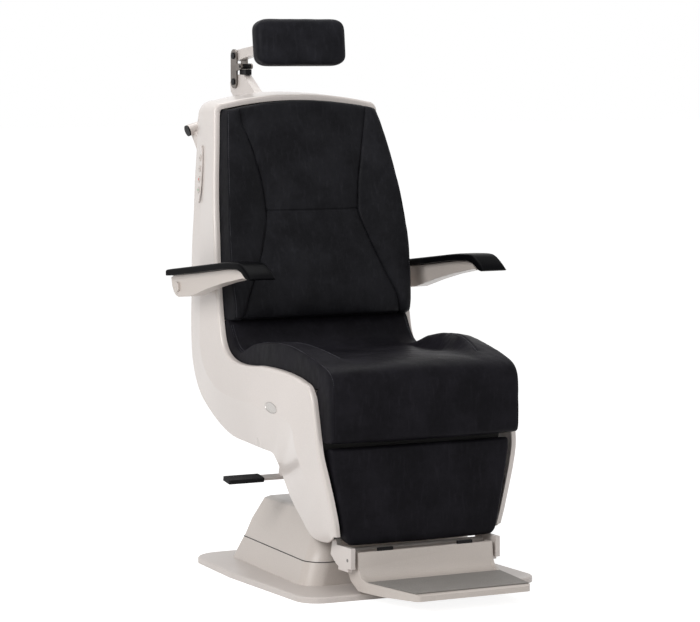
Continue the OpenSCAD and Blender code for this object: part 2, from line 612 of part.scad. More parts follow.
module push_handle() {
    foot_y = back_face(handle_web_x);
    color(shell_colour) difference() {
        union() {
            handle_arc(handle_r);
            both_sides() profile(concat(places(handle_web_shares), [for (z = handle_foot_shares) [foot_y, at_z(z)]]),
                handle_web_x, handle_web_x + handle_web_t);
        }
        handle_arc(handle_r - handle_wall);
    }
}

module handle_plugs() {
    color(dark_colour) both_sides() translate([0, handle_y, handle_centre_z]) rotate([0, handle_angle, 0])
        translate([0, 0, handle_arc_r]) rotate([0, 90, 0]) cylinder(r = handle_r, h = plug_t);
}

// Armrests
arm_bracket_shares = [[0.512, 0.625], [0.504, 0.607], [0.491, 0.595], [0.476, 0.588], [0.455, 0.585],
    [0.359, 0.592], [0.233, 0.614], [0.125, 0.630], [-0.025, 0.6475], [-0.041, 0.646], [-0.012, 0.659],
    [0.021, 0.6635], [0.084, 0.6612], [0.304, 0.6437], [0.496, 0.630]];
// Rows of a pad: y and z of its top, then y and z of its underside
pad_shares = [
    [0.497, 0.642, 0.495, 0.633], [0.490, 0.645, 0.489, 0.6308], [0.304, 0.660, 0.304, 0.6441],
    [0.188, 0.669, 0.188, 0.6535], [0.084, 0.677, 0.084, 0.6616], [0.025, 0.680, 0.025, 0.6642],
    [-0.025, 0.681, -0.018, 0.6660], [-0.052, 0.678, -0.042, 0.6635], [-0.075, 0.671, -0.062, 0.658],
    [-0.100, 0.661, -0.083, 0.650], [-0.116, 0.652, -0.104, 0.6465], [-0.119, 0.6495, -0.114, 0.6475]];
pad_cols = [[0, 0], [0.5, 0.03], [0.8, 0.1], [0.93, 0.24], [1, 0.45]];

module arm_bracket() {
    x0 = arm_x - arm_bracket_w / 2;
    difference() {
        profile(places(arm_bracket_shares), x0, x0 + arm_bracket_w);
        bar_x(at_y(arm_y_share), at_z(arm_z_share), arm_pin_r + run, 0, 2 * arm_x);
    }
}

function pad_point(s, c, from, to) = let (z = mixed(s[from + 1], s[to + 1], c[1]))
    [c[0] * pad_w / 2, at_y(mixed(s[from], s[to], c[1])), at_z(z)];

module arm_pad() {
    translate([arm_x, 0, 0]) thick_sheet(
        [for (s = pad_shares) whole_row([for (c = pad_cols) pad_point(s, c, 0, 2)])],
        [for (s = pad_shares) whole_row([for (c = pad_cols) pad_point(s, [c[0], c[1] / 2], 2, 0)])]);
}

module armrest_bracket_right() { color(shell_colour) arm_bracket(); }
module armrest_bracket_left() { color(shell_colour) mirror([1, 0, 0]) arm_bracket(); }
module armrest_pad_right() { color(dark_colour) arm_pad(); }
module armrest_pad_left() { color(dark_colour) mirror([1, 0, 0]) arm_pad(); }

module arm_pivots() {
    y = at_y(arm_y_share);
    z = at_z(arm_z_share);
    inner = arm_x - arm_bracket_w / 2 - seat_gap;
    outer = arm_x + arm_bracket_w / 2 + seat_gap;
    color(steel_colour) both_sides() {
        bar_x(y, z, arm_boss_r, frame_x + frame_t, inner);
        bar_x(y, z, arm_pin_r, inner, outer);
        bar_x(y, z, arm_head_r, outer, outer + arm_head_t);
    }
}

// Base
plate_bevel = 3;
plate_front_r = 60;
plate_rear_r = 85;
plate_rear_half_share = 0.47;
anchor_mid_y = 60;

module plate_corner(x, y, r) {
    translate([x, y, 0]) {
        cylinder(r = r, h = plate_t - plate_bevel);
        translate([0, 0, plate_t - plate_bevel]) cylinder(r1 = r, r2 = r - plate_bevel, h = plate_bevel);
    }
}

module base_plate() {
    side = plate_w / 2;
    color(cover_colour) difference() {
        hull() {
            plate_corner(0, plate_front_r - plate_front, plate_front_r, $fn = 32);
            both_sides() plate_corner(side - plate_front_r, plate_front_r - 0.975 * plate_front, plate_front_r, $fn = 32);
            both_sides() plate_corner(side - plate_front_r, plate_rear / 4, plate_front_r, $fn = 32);
            both_sides() plate_corner(plate_rear_half_share * plate_w - plate_rear_r, plate_rear - plate_rear_r,
                plate_rear_r, $fn = 32);
        }
        for (x = [-1, 1]) for (y = [-1, 1])
            translate([x * anchor_x / 2, anchor_mid_y + y * anchor_y / 2, -over])
                cylinder(d = anchor_d, h = plate_t + 2 * over);
    }
}

// Outline of the base covers at one height: front, half width there, rear and half width there
cover_front_r = 54;
cover_rear_r = 16;
cover_round = 12;
cover_seam_gap = 1.2;
cover_rear_half_share = 0.86;
seam_front_share = 0.98;
seam_half_share = 0.93;
seam_rear_share = 0.925;
nose_z_share = 0.66;
nose_front_share = 0.93;
nose_half_share = 0.84;
nose_rear_share = 0.84;
top_front_share = 0.58;
top_half_share = 0.69;
top_rear_share = 0.74;

module cover_slab(z, front, half, rear, rear_half, shrink) {
    translate([0, 0, z]) both_sides() {
        translate([half - cover_front_r, cover_front_r - front, 0]) cylinder(r = cover_front_r - shrink, h = run);
        translate([rear_half - cover_rear_r, rear - cover_rear_r, 0]) cylinder(r = cover_rear_r - shrink, h = run);
    }
}

module skirt_solid(shrink) {
    hull() {
        cover_slab(plate_t, skirt_front, skirt_half, skirt_rear, cover_rear_half_share * skirt_half, shrink, $fn = 32);
        cover_slab(seam_z - run, seam_front_share * skirt_front, seam_half_share * skirt_half,
            seam_rear_share * skirt_rear, cover_rear_half_share * 0.91 * skirt_half, shrink, $fn = 32);
    }
}

module cover_solid(shrink, low, drop) {
    step = cover_seam_gap + shrink;
    hull() {
        cover_slab(low, seam_front_share * skirt_front, seam_half_share * skirt_half,
            seam_rear_share * skirt_rear, cover_rear_half_share * 0.91 * skirt_half, step, $fn = 32);
        cover_slab(nose_z_share * cover_top, nose_front_share * skirt_front, nose_half_share * skirt_half,
            nose_rear_share * skirt_rear, 0.75 * skirt_half, step, $fn = 32);
        cover_slab(cover_top - cover_round / 2 - drop, 1.04 * top_front_share * skirt_front, 1.02 * top_half_share * skirt_half,
            1.01 * top_rear_share * skirt_rear, 0.665 * skirt_half, step, $fn = 32);
        cover_slab(cover_top - run - drop, top_front_share * skirt_front, top_half_share * skirt_half,
            top_rear_share * skirt_rear, 0.65 * skirt_half, cover_round + shrink / 2, $fn = 32);
    }
}

inlet_w = 48;
inlet_h = 28;
inlet_z = 44;
inlet_y = 280;
inlet_out = 306;
inlet_flange = 4;

module base_skirt() {
    color(cover_colour) difference() {
        skirt_solid(0);
        hull() {
            translate([0, 0, -over]) cover_slab(plate_t, skirt_front, skirt_half, skirt_rear,
                cover_rear_half_share * skirt_half, cover_t, $fn = 32);
            cover_slab(seam_z + over, seam_front_share * skirt_front, seam_half_share * skirt_half,
                seam_rear_share * skirt_rear, cover_rear_half_share * 0.91 * skirt_half, cover_t, $fn = 32);
        }
        translate([-inlet_w / 2 - seat_gap, inlet_y, inlet_z - inlet_h / 2 - seat_gap])
            cube([inlet_w + 2 * seat_gap, plate_rear - inlet_y, inlet_h + 2 * seat_gap]);
    }
}

seal_t = 6;
seal_w = 14;

module base_cover() {
    color(cover_colour) difference() {
        cover_solid(0, seam_z + seat_gap, 0);
        cover_solid(cover_t, seam_z - over, cover_t);
        translate([0, 0, seam_z]) cylinder(d = sleeve_d + seal_w, h = cover_top);
    }
}

module column_seal() {
    color(dark_colour) translate([0, 0, cover_top]) difference() {
        cylinder(d = sleeve_d + 2 * seal_w, h = seal_t);
        translate([0, 0, -over]) cylinder(d = sleeve_d + 2 * seat_gap, h = seal_t + 2 * over);
    }
}

// Appliance inlet in the rear of the skirt
socket_w = 28;
socket_h = 20;
socket_depth = 18;

module mains_inlet() {
    color(dark_colour) difference() {
        translate([-inlet_w / 2, inlet_y + run, inlet_z - inlet_h / 2])
            cube([inlet_w, inlet_out - inlet_y, inlet_h]);
        translate([-socket_w / 2, inlet_out - socket_depth, inlet_z - socket_h / 2])
            cube([socket_w, socket_depth + over, socket_h]);
    }
}

// Column
mast_flange_d = 170;
mast_flange_t = 8;
bush_l = 34;
sleeve_plate_t = 10;
motor_d = 60;
motor_l = 130;
motor_neck_d = 40;
motor_floor = 7;
screw_foot = 9;
bearing_t = 8;
spigot_d = 50;
cap_d = 76;
cap_t = 5;
cradle_t = 12;
sleeve_foot = plate_t + mast_flange_t + 4;
mast_top = sleeve_top - sleeve_plate_t - seat_gap;
cradle_z = sleeve_top + bearing_t + seat_gap;
cap_z = cradle_z + cradle_t + seat_gap;

module ring(inner_r, outer_r, z, h) {
    translate([0, 0, z]) difference() {
        cylinder(r = outer_r, h = h);
        translate([0, 0, -over]) cylinder(r = inner_r, h = h + 2 * over);
    }
}

module mast() {
    color(steel_colour) difference() {
        union() {
            translate([0, 0, plate_t]) cylinder(d = mast_d, h = mast_top - plate_t);
            translate([0, 0, plate_t]) cylinder(d = mast_flange_d, h = mast_flange_t);
        }
        translate([0, 0, plate_t - over]) cylinder(r = mast_d / 2 - column_t, h = mast_top);
    }
}

module mast_bush() {
    color(dark_colour) ring(mast_d / 2, sleeve_d / 2 - column_t - run, mast_top - bush_l, bush_l);
}

module lift_motor() {
    neck_top = sleeve_foot + lift_travel + motor_neck_d / 2;
    color(dark_colour) difference() {
        union() {
            translate([0, 0, plate_t]) cylinder(d = motor_d, h = motor_l);
            translate([0, 0, plate_t]) cylinder(d = motor_neck_d, h = neck_top - plate_t);
        }
        translate([0, 0, plate_t + motor_floor]) cylinder(r = screw_d / 2 + run, h = neck_top);
    }
}

module lift_sleeve() {
    color(cover_colour) difference() {
        union() {
            translate([0, 0, sleeve_foot]) cylinder(d = sleeve_d, h = sleeve_top - sleeve_foot);
            translate([0, 0, sleeve_top]) cylinder(d = spigot_d, h = cap_z - sleeve_top);
        }
        translate([0, 0, sleeve_foot - over])
            cylinder(r = sleeve_d / 2 - column_t, h = sleeve_top - sleeve_plate_t - sleeve_foot + over);
    }
}

module sleeve_bush() {
    color(dark_colour) ring(mast_d / 2 + run, sleeve_d / 2 - column_t, sleeve_foot, bush_l);
}

module lift_screw() {
    low = plate_t + screw_foot;
    color(steel_colour) translate([0, 0, low]) cylinder(d = screw_d, h = sleeve_top - sleeve_plate_t - low);
}

module swivel_bearing() {
    color(steel_colour) ring(spigot_d / 2, sleeve_d / 2, sleeve_top, bearing_t);
}

module swivel_cap() {
    color(dark_colour) translate([0, 0, cap_z]) cylinder(d = cap_d, h = cap_t);
}

// Cradle
cradle_front = 95;
cradle_rear = 105;
cheek_shoulder = 22;
cheek_boss_r = 32;
drive_arm_w = 70;
drive_arm_end = 203;
lug_in = 20;
lug_t = 10;
lug_r = 14;
drive_pin_r = 8;
drive_y = tilt_y + drive_back;
drive_z = tilt_z - drive_drop;
brake_x = 118;
brake_z = 291;
brake_y = 82;
brake_ear_t = 6;
brake_ear_w = 22;
brake_pin_r = 4;
brake_hub_r = 9;
brake_hub_w = 24;

module swivel_cradle() {
    top = cradle_z + cradle_t;
    cheek = [[-cradle_front, top - over], [cradle_rear, top - over], [cradle_rear, top + cheek_shoulder],
        [tilt_y + cheek_boss_r, tilt_z], [tilt_y - cheek_boss_r, tilt_z], [-cradle_front, top + cheek_shoulder]];
    color(steel_colour) difference() {
        union() {
            translate([-cradle_w / 2, -cradle_front, cradle_z]) cube([cradle_w, cradle_front + cradle_rear, cradle_t]);
            translate([-drive_arm_w / 2, 0, cradle_z]) cube([drive_arm_w, drive_arm_end, cradle_t]);
            both_sides() {
                profile(cheek, cradle_w / 2 - cheek_t, cradle_w / 2);
                bar_x(tilt_y, tilt_z, cheek_boss_r, cradle_w / 2 - cheek_t, cradle_w / 2);
                bar_x(drive_y, drive_z, lug_r, lug_in, lug_in + lug_t);
                translate([lug_in, drive_arm_end - 2 * lug_r, top - over])
                    cube([lug_t, 2 * lug_r, drive_z - top + over]);
            }
            for (side = [-1, 1])
                translate([-brake_x - brake_ear_w / 2, brake_y + side * (brake_hub_w + brake_ear_t) / 2 - brake_ear_t / 2,
                    brake_z - brake_hub_r])
                    cube([brake_ear_w, brake_ear_t, cradle_z - brake_z + brake_hub_r + over]);
        }
        translate([0, 0, cradle_z - over]) cylinder(r = spigot_d / 2 + run, h = cradle_t + 2 * over);
        bar_x(tilt_y, tilt_z, shaft_d / 2 + run, -cradle_w, cradle_w);
        bar_x(drive_y, drive_z, drive_pin_r, -cradle_w, cradle_w);
        brake_bar(brake_pin_r, brake_hub_w + 4 * brake_ear_t);
    }
}

module brake_bar(r, l) {
    translate([-brake_x, brake_y + l / 2, brake_z]) rotate([90, 0, 0]) cylinder(r = r, h = l);
}

module brake_pin() {
    color(steel_colour) brake_bar(brake_pin_r, brake_hub_w + 2 * brake_ear_t + over);
}

// Swivel lock: a lever that reaches out under the left shell, with a black grip
lever_t = 6;
lever_w = 30;
lever_foot_x = 192;
lever_end_x = 340;
grip_l = 100;
grip_w = 40;
grip_t = 11;
grip_x = 352;
grip_z = 255;
grip_tilt = 10;
grip_r = 4;

module at_grip() {
    translate([0, brake_y, grip_z]) rotate([grip_tilt, 0, 0]) children();
}

module brake_lever() {
    hub = brake_hub_w / 2 - seat_gap;
    color(shell_colour) difference() {
        union() {
            brake_bar(brake_hub_r, 2 * hub);
            translate([0, brake_y + hub, 0]) rotate([90, 0, 0]) linear_extrude(2 * hub) polygon([
                [-brake_x, brake_z + brake_hub_r], [-lever_foot_x, brake_z + brake_hub_r],
                [-lever_foot_x - lever_t, grip_z], [-lever_foot_x, grip_z - lever_t / 2],
                [-lever_foot_x + lever_t, brake_z - brake_hub_r], [-brake_x, brake_z - brake_hub_r]]);
            at_grip() translate([-lever_end_x, -lever_w / 2, -lever_t / 2])
                cube([lever_end_x - lever_foot_x, lever_w, lever_t]);
        }
        brake_bar(brake_pin_r + run, 2 * brake_hub_w);
    }
}

module brake_grip() {
    color(dark_colour) at_grip() difference() {
        hull() for (x = [grip_r, grip_l - grip_r]) for (y = [-1, 1])
            translate([x - grip_x, y * (grip_w / 2 - grip_r), -grip_t / 2]) cylinder(r = grip_r, h = grip_t, $fn = 24);
        translate([-lever_end_x - seat_gap, -lever_w / 2 - seat_gap, -lever_t / 2 - seat_gap])
            cube([grip_l, lever_w + 2 * seat_gap, lever_t + 2 * seat_gap]);
    }
}

// Tilt drive: an actuator from the cradle to a crank on the tilt shaft
crank_angle = 0.6;
crank_y = tilt_y + crank_r * sin(crank_angle);
crank_z = tilt_z - crank_r * cos(crank_angle);
drive_l = norm([crank_y - drive_y, crank_z - drive_z]);
drive_rise = atan2(crank_z - drive_z, drive_y - crank_y);
tube_r = 19;
tube_start = 9;
tube_l = 108;
rod_r = 12;
rod_start = 34;
eye_r = 12;
rod_eye_r = 15;
rod_eye_w = 22;
slot_half = 3;
crank_pin_r = 6;
crank_plate_t = 8;
crank_gap = 1;
crank_hub_r = 23;
crank_boss_r = 12;

module along_drive() {
    translate([0, drive_y, drive_z]) rotate([-drive_rise, 0, 0]) children();
}

module bar_y(r, start, l) {
    translate([0, -start, 0]) rotate([90, 0, 0]) cylinder(r = r, h = l);
}

module actuator_pin() {
    end = lug_in + lug_t + 2 * over;
    color(steel_colour) bar_x(drive_y, drive_z, drive_pin_r, -end, end);
}

module tilt_actuator() {
    half = lug_in - seat_gap;
    color(dark_colour) along_drive() difference() {
        union() {
            bar_x(0, 0, eye_r, -half, half);
            bar_y(tube_r, tube_start, tube_l);
        }
        bar_x(0, 0, drive_pin_r + run, -lug_in - over, lug_in + over);
        bar_y(rod_r + run, rod_start - over, tube_l);
    }
}

module tilt_rod() {
    color(steel_colour) along_drive() difference() {
        union() {
            bar_y(rod_r, rod_start, drive_l - rod_start);
            bar_x(-drive_l, 0, rod_eye_r, -rod_eye_w / 2, rod_eye_w / 2);
        }
        for (side = [-1, 1])
            bar_x(-drive_l, side * slot_half, crank_pin_r + seat_gap, -rod_eye_w, rod_eye_w);
        translate([-rod_eye_w, -drive_l - crank_pin_r - seat_gap, -slot_half])
            cube([2 * rod_eye_w, 2 * (crank_pin_r + seat_gap), 2 * slot_half]);
    }
}

module tilt_shaft() {
    end = frame_x + frame_t + 4 * over;
    color(steel_colour) bar_x(tilt_y, tilt_z, shaft_d / 2, -end, end);
}

module tilt_crank() {
    inner = rod_eye_w / 2 + crank_gap;
    outer = inner + crank_plate_t;
    color(steel_colour) difference() {
        union() {
            bar_x(tilt_y, tilt_z, crank_hub_r, -outer, outer);
            both_sides() {
                bar_x(crank_y, crank_z, crank_boss_r, inner, outer);
                profile([[crank_y - crank_boss_r, crank_z], [crank_y + crank_boss_r, crank_z],
                    [tilt_y + crank_hub_r, tilt_z], [tilt_y - crank_hub_r, tilt_z]], inner, outer);
            }
        }
        bar_x(tilt_y, tilt_z, shaft_d / 2, -body_w, body_w);
        bar_x(crank_y, crank_z, crank_pin_r, -body_w, body_w);
    }
}

module crank_pin() {
    end = rod_eye_w / 2 + crank_gap + crank_plate_t + over;
    color(steel_colour) bar_x(crank_y, crank_z, crank_pin_r, -end, end);
}

// Footrest, folding up on two pins under the leg panel
foot_pin_y_share = -0.391;
foot_pin_z_share = 0.081;
foot_pin_r = 4;
foot_pin_y = at_y(foot_pin_y_share);
foot_pin_z = at_z(foot_pin_z_share);
foot_bracket_t = 12;
foot_ear_t = 9;
foot_bracket_shares = [[-0.294, 0.1215], [-0.279, 0.084], [-0.315, 0.0675], [-0.330, 0.064], [-0.330, 0.057],
    [-0.393, 0.057], [-0.393, 0.064], [-0.414, 0.064], [-0.414, 0.1075], [-0.320, 0.1075], [-0.3145, 0.1215]];
foot_profile_shares = [[-0.411, 0.0975], [-0.416, 0.064], [-0.427, 0.049], [-0.450, 0.041], [-0.704, 0.0405],
    [-0.7125, 0.037], [-0.7125, 0.026], [-0.543, 0.0195], [-0.410, 0.0185], [-0.400, 0.024], [-0.399, 0.0975]];
foot_ear_shares = [[-0.345, 0.052], [-0.362, 0.036], [-0.407, 0.020], [-0.540, 0.0200], [-0.475, 0.0385],
    [-0.430, 0.049], [-0.416, 0.064], [-0.411, 0.0975], [-0.376, 0.0975], [-0.352, 0.072]];
foot_corner_r = 14;
tread_t = 2;
tread_margin = 2;
tread_rear_share = -0.466;
tread_front_share = -0.700;
tread_z_share = 0.0409;
foot_front_y = at_y(foot_profile_shares[5][0]);
foot_rear_y = at_y(foot_profile_shares[3][0]);

module foot_plan(margin) {
    hull() both_sides() {
        translate([foot_w / 2 - margin - foot_corner_r / 2, foot_rear_y]) circle(r = foot_corner_r / 2, $fn = 24);
        translate([foot_front_w / 2 - margin - foot_corner_r, foot_front_y + margin + foot_corner_r])
            circle(r = foot_corner_r, $fn = 24);
    }
}

module footrest_brackets() {
    color(shell_colour) both_sides() difference() {
        profile(places(foot_bracket_shares), foot_bracket_w / 2 - foot_bracket_t, foot_bracket_w / 2);
        bar_x(foot_pin_y, foot_pin_z, foot_pin_r, 0, body_w);
    }
}

module footrest_pins() {
    color(steel_colour) both_sides()
        bar_x(foot_pin_y, foot_pin_z, foot_pin_r, foot_w / 2 - foot_ear_t - over, foot_bracket_w / 2 + over);
}

module footrest() {
    riser = foot_w / 2;
    color(cover_colour) difference() {
        union() {
            profile(places(foot_profile_shares), -riser, riser);
            both_sides() profile(places(foot_ear_shares), riser - foot_ear_t, riser);
        }
        difference() {
            translate([-foot_w, foot_front_y - foot_w, 0]) cube([2 * foot_w, foot_w + foot_rear_y - foot_front_y, foot_w]);
            translate([0, 0, -over]) linear_extrude(foot_w + 2 * over) foot_plan(0);
        }
        bar_x(foot_pin_y, foot_pin_z, foot_pin_r + run, -body_w, body_w);
    }
}

module footrest_tread() {
    color(tread_colour) translate([0, 0, at_z(tread_z_share) + seat_gap]) intersection() {
        linear_extrude(tread_t) foot_plan(tread_margin);
        translate([-foot_w, at_y(tread_front_share), -over])
            cube([2 * foot_w, at_y(tread_rear_share) - at_y(tread_front_share), tread_t + 2 * over]);
    }
}

// Grey tube across the foot of the leg panel, between the brackets
cross_y_share = -0.3275;
cross_z_share = 0.094;
cross_r = 7;

module leg_cross_tube() {
    end = foot_bracket_w / 2 - foot_bracket_t;
    color(steel_colour) bar_x(at_y(cross_y_share), at_z(cross_z_share), cross_r, -end, end);
}

bumper_x = 92;
bumper_w = 42;
bumper_d = 8;
bumper_h = 8;

module footrest_bumpers() {
    color(dark_colour) both_sides()
        translate([bumper_x, at_y(foot_profile_shares[0][0]) + over, at_z(foot_profile_shares[0][1])])
            cube([bumper_w, bumper_d, bumper_h]);
}

// Headrest: a fixed arm behind the back, two link plates, an upper arm and a tilting pad
head_y_share = 0.9025;
head_z_share = 1.048;
head_y = at_y(head_y_share);
head_z = at_z(head_z_share);
head_top_y = head_y;
head_top_z = head_z + head_link;
head_half = 12;
link_gap = 1;
link_t = 5;
link_r = 18;
head_pin_r = 6;
head_nut_r = 9;
head_nut_t = 3;
head_base_shares = [[0.640, 0.865], [0.640, 0.965], [0.749, 1.0225], [0.841, 1.064], [0.925, 1.064],
    [0.945, 1.045], [0.940, 1.025], [0.9175, 1.0125], [0.720, 0.910], [0.675, 0.865]];
head_foot_w = 90;
head_foot_t = 6;
clamp_l = 52;
clamp_h = 14;
clamp_half = 9;
clamp_front_share = 0.812;
axle_r = 4;
axle_up = 42;
axle_fore = 41;
spacer_r = 7;
upper_arm_r = 15;
upper_arm_low = 24;
mount_y_share = 0.524;
mount_z_share = 1.1375;
mount_y = at_y(mount_y_share);
mount_z = at_z(mount_z_share);
mount_boss_r = 12;
mount_pin_r = 5;
mount_ear_t = 5;
mount_plate_w = 90;
mount_plate_h = 60;
mount_plate_t = 4;
pad_y_share = 0.450;
pad_z_share = 1.1367;
pad_lean = -7;

module headrest_base() {
    foot_y = back_face(0) + seat_gap;
    foot_z = at_z(head_base_shares[0][1]);
    color(shell_colour) difference() {
        union() {
            profile(places(head_base_shares), -head_half, head_half);
            translate([-head_foot_w / 2, foot_y, foot_z])
                cube([head_foot_w, head_foot_t, at_z(head_base_shares[1][1]) - foot_z]);
        }
        handle_arc(handle_r + seat_gap);
        bar_x(head_y, head_z, head_pin_r + run, -body_w, body_w);
    }
}

module link_plate() {
    inner = head_half + link_gap;
    outer = inner + link_t;
    difference() {
        union() {
            profile([[head_y - link_r, head_z], [head_y + link_r, head_z],
                [head_top_y + link_r, head_top_z], [head_top_y - link_r, head_top_z]], inner, outer);
            bar_x(head_y, head_z, link_r, inner, outer);
            bar_x(head_top_y, head_top_z, link_r, inner, outer);
            profile([[head_y - axle_fore, head_z + axle_up - 2 * axle_r], [head_y, head_z + axle_up - 4 * axle_r],
                [head_y, head_z + axle_up + 2 * axle_r], [head_y - axle_fore, head_z + axle_up + 2 * axle_r]],
                inner, outer);
            bar_x(head_y - axle_fore, head_z + axle_up, 2 * axle_r, inner, outer);
        }
        bar_x(head_y, head_z, head_pin_r, 0, body_w);
        bar_x(head_top_y, head_top_z, head_pin_r, 0, body_w);
        bar_x(head_y - axle_fore, head_z + axle_up, axle_r, 0, body_w);
    }
}

module headrest_links() {
    color(steel_colour) both_sides() link_plate();
}

module headrest_pins() {
    outer = head_half + link_gap + link_t;
    color(dark_colour) {
        for (z = [head_z, head_top_z]) {
            bar_x(head_y, z, head_pin_r, -outer - head_nut_t, outer + head_nut_t);
            both_sides() bar_x(head_y, z, head_nut_r, outer + run, outer + head_nut_t);
        }
        bar_x(head_y - axle_fore, head_z + axle_up, axle_r, -outer - over, outer + over);
        bar_x(head_y - axle_fore, head_z + axle_up, spacer_r, -head_half, head_half);
    }
}

module headrest_clamp() {
    color(dark_colour) translate([-clamp_half, at_y(clamp_front_share) + clamp_h, at_z(head_base_shares[3][1]) + run])
        cube([2 * clamp_half, clamp_l - clamp_h, clamp_h]);
}

module headrest_arm() {
    color(shell_colour) difference() {
        union() {
            bar_x(head_top_y, head_top_z, upper_arm_r, -head_half, head_half);
            profile([[head_top_y, head_top_z + upper_arm_r], [mount_y, mount_z + mount_boss_r],
                [mount_y, mount_z - mount_boss_r], [mixed(mount_y, head_top_y, 0.7), head_top_z],
                [head_top_y, head_top_z - upper_arm_r]], -head_half, head_half);
            bar_x(mount_y, mount_z, mount_boss_r, -head_half, head_half);
        }
        bar_x(head_top_y, head_top_z, head_pin_r + run, -body_w, body_w);
        bar_x(mount_y, mount_z, mount_pin_r + run, -body_w, body_w);
    }
}

module at_pad() {
    translate([0, at_y(pad_y_share), at_z(pad_z_share)]) rotate([pad_lean, 0, 0]) children();
}

module headrest_mount() {
    inner = head_half + seat_gap;
    outer = inner + mount_ear_t;
    plate_y = at_y(pad_y_share) + head_t / 2 + seat_gap;
    color(steel_colour) {
        at_pad() translate([-mount_plate_w / 2, head_t / 2 + seat_gap, -mount_plate_h / 2])
            cube([mount_plate_w, mount_plate_t, mount_plate_h]);
        both_sides() {
            profile([[plate_y + mount_plate_t / 2, mount_z - mount_boss_r], [mount_y, mount_z - mount_boss_r],
                [mount_y, mount_z + mount_boss_r], [plate_y + mount_plate_t / 2, mount_z + mount_boss_r]], inner, outer);
            bar_x(mount_y, mount_z, mount_boss_r, inner, outer);
        }
        bar_x(mount_y, mount_z, mount_pin_r, -outer - over, outer + over);
    }
}

head_a = [0, 0.3, 0.55, 0.75, 0.88, 0.95, 0.985, 1];
head_b = [1, 0.98, 0.92, 0.8, 0.5, 0, -0.5, -0.8, -0.92, -0.98, -1];
head_front_share = 0.5;
head_corner_shares = [0.09, 0.16];
function head_puff(a, b) = pow(max(1 - pow(abs(a), 10), 0), 0.35) * pow(max(1 - pow(abs(b), 6), 0), 0.35);
function head_point(a, b, way) = [a * head_w / 2 * (1 - head_corner_shares[0] * pow(b, 8)),
    way * head_t * head_front_share * head_puff(a, b), b * head_h / 2 * (1 - head_corner_shares[1] * pow(a, 16))];
function head_rear(a, b) = [head_point(a, b, 0)[0], head_t / 2 * max(head_puff(a, b), 0.1), head_point(a, b, 0)[2]];

module headrest_pad() {
    color(leather_colour) at_pad() thick_sheet(
        [for (b = head_b) whole_row([for (a = head_a) head_point(a, b, -1)])],
        [for (b = head_b) whole_row([for (a = head_a) head_rear(a, b)])]);
}

base_plate();
base_skirt();
base_cover();
column_seal();
mains_inlet();
mast();
mast_bush();
lift_motor();
lift_sleeve();
sleeve_bush();
lift_screw();
swivel_bearing();
swivel_cap();
swivel_cradle();
brake_pin();
brake_lever();
brake_grip();
actuator_pin();
tilt_actuator();
tilt_rod();
tilt_shaft();
tilt_crank();
crank_pin();
seat_frame();
shell_mounts();
cushion_boards();
side_shell_left();
side_shell_right();
back_crown();
back_shell();
leg_cover();
seat_cushion();
back_cushion();
leg_cushion();
badges();
control_panel();
back_up_button();
back_down_button();
lift_up_button();
lift_down_button();
push_handle();
handle_plugs();
arm_pivots();
armrest_bracket_left();
armrest_bracket_right();
armrest_pad_left();
armrest_pad_right();
footrest_brackets();
leg_cross_tube();
footrest_pins();
footrest();
footrest_tread();
footrest_bumpers();
headrest_base();
headrest_links();
headrest_pins();
headrest_clamp();
headrest_arm();
headrest_mount();
headrest_pad();
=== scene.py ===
"""Ophthalmic examination chair: shells, upholstery, finishes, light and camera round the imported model."""

from __future__ import annotations

import logging
import math
from dataclasses import dataclass, field
from enum import Enum
from typing import Any, Sequence

import bmesh
import bpy
import numpy as np
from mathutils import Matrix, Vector, noise

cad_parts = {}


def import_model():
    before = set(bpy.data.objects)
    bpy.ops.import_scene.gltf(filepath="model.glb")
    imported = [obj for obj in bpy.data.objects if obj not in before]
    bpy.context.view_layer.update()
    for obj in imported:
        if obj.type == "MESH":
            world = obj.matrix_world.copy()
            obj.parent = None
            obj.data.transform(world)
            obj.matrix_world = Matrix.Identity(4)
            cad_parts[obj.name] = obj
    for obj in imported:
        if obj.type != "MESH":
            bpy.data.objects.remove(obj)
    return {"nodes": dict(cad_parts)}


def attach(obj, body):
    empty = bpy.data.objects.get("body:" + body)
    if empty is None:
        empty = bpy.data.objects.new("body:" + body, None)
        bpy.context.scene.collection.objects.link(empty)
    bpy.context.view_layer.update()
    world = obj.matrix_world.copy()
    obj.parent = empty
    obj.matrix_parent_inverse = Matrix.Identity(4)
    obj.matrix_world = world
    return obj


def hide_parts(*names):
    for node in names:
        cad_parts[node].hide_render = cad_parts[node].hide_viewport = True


log = logging.getLogger("chair")

Socket = bpy.types.NodeSocket
Array = np.ndarray
Colour = tuple[float, float, float, float]
WHITE: Colour = (1, 1, 1, 1)
MERGE = 0.00002
TINY = 1e-12


def linear(*display: float) -> Colour:
    """Turn a display colour into a linear one.

    Args:
        display: Red, green and blue from 0 to 255.

    Returns:
        The linear colour with an alpha of 1.
    """
    shares = (value / 255 for value in display)
    red, green, blue = (v / 12.92 if v <= 0.04045 else ((v + 0.055) / 1.055) ** 2.4 for v in shares)
    return red, green, blue, 1.0


def shade(colour: Colour, factor: float) -> Colour:
    """Make a linear colour darker or lighter by a factor."""
    return colour[0] * factor, colour[1] * factor, colour[2] * factor, 1.0


def put(name: str, data: bpy.types.ID) -> bpy.types.Object:
    """Make an object and link it to the scene.

    Args:
        name: The object's name.
        data: Its mesh, lamp or camera.

    Returns:
        The object.
    """
    made = bpy.data.objects.new(name, data)
    bpy.context.scene.collection.objects.link(made)
    return made


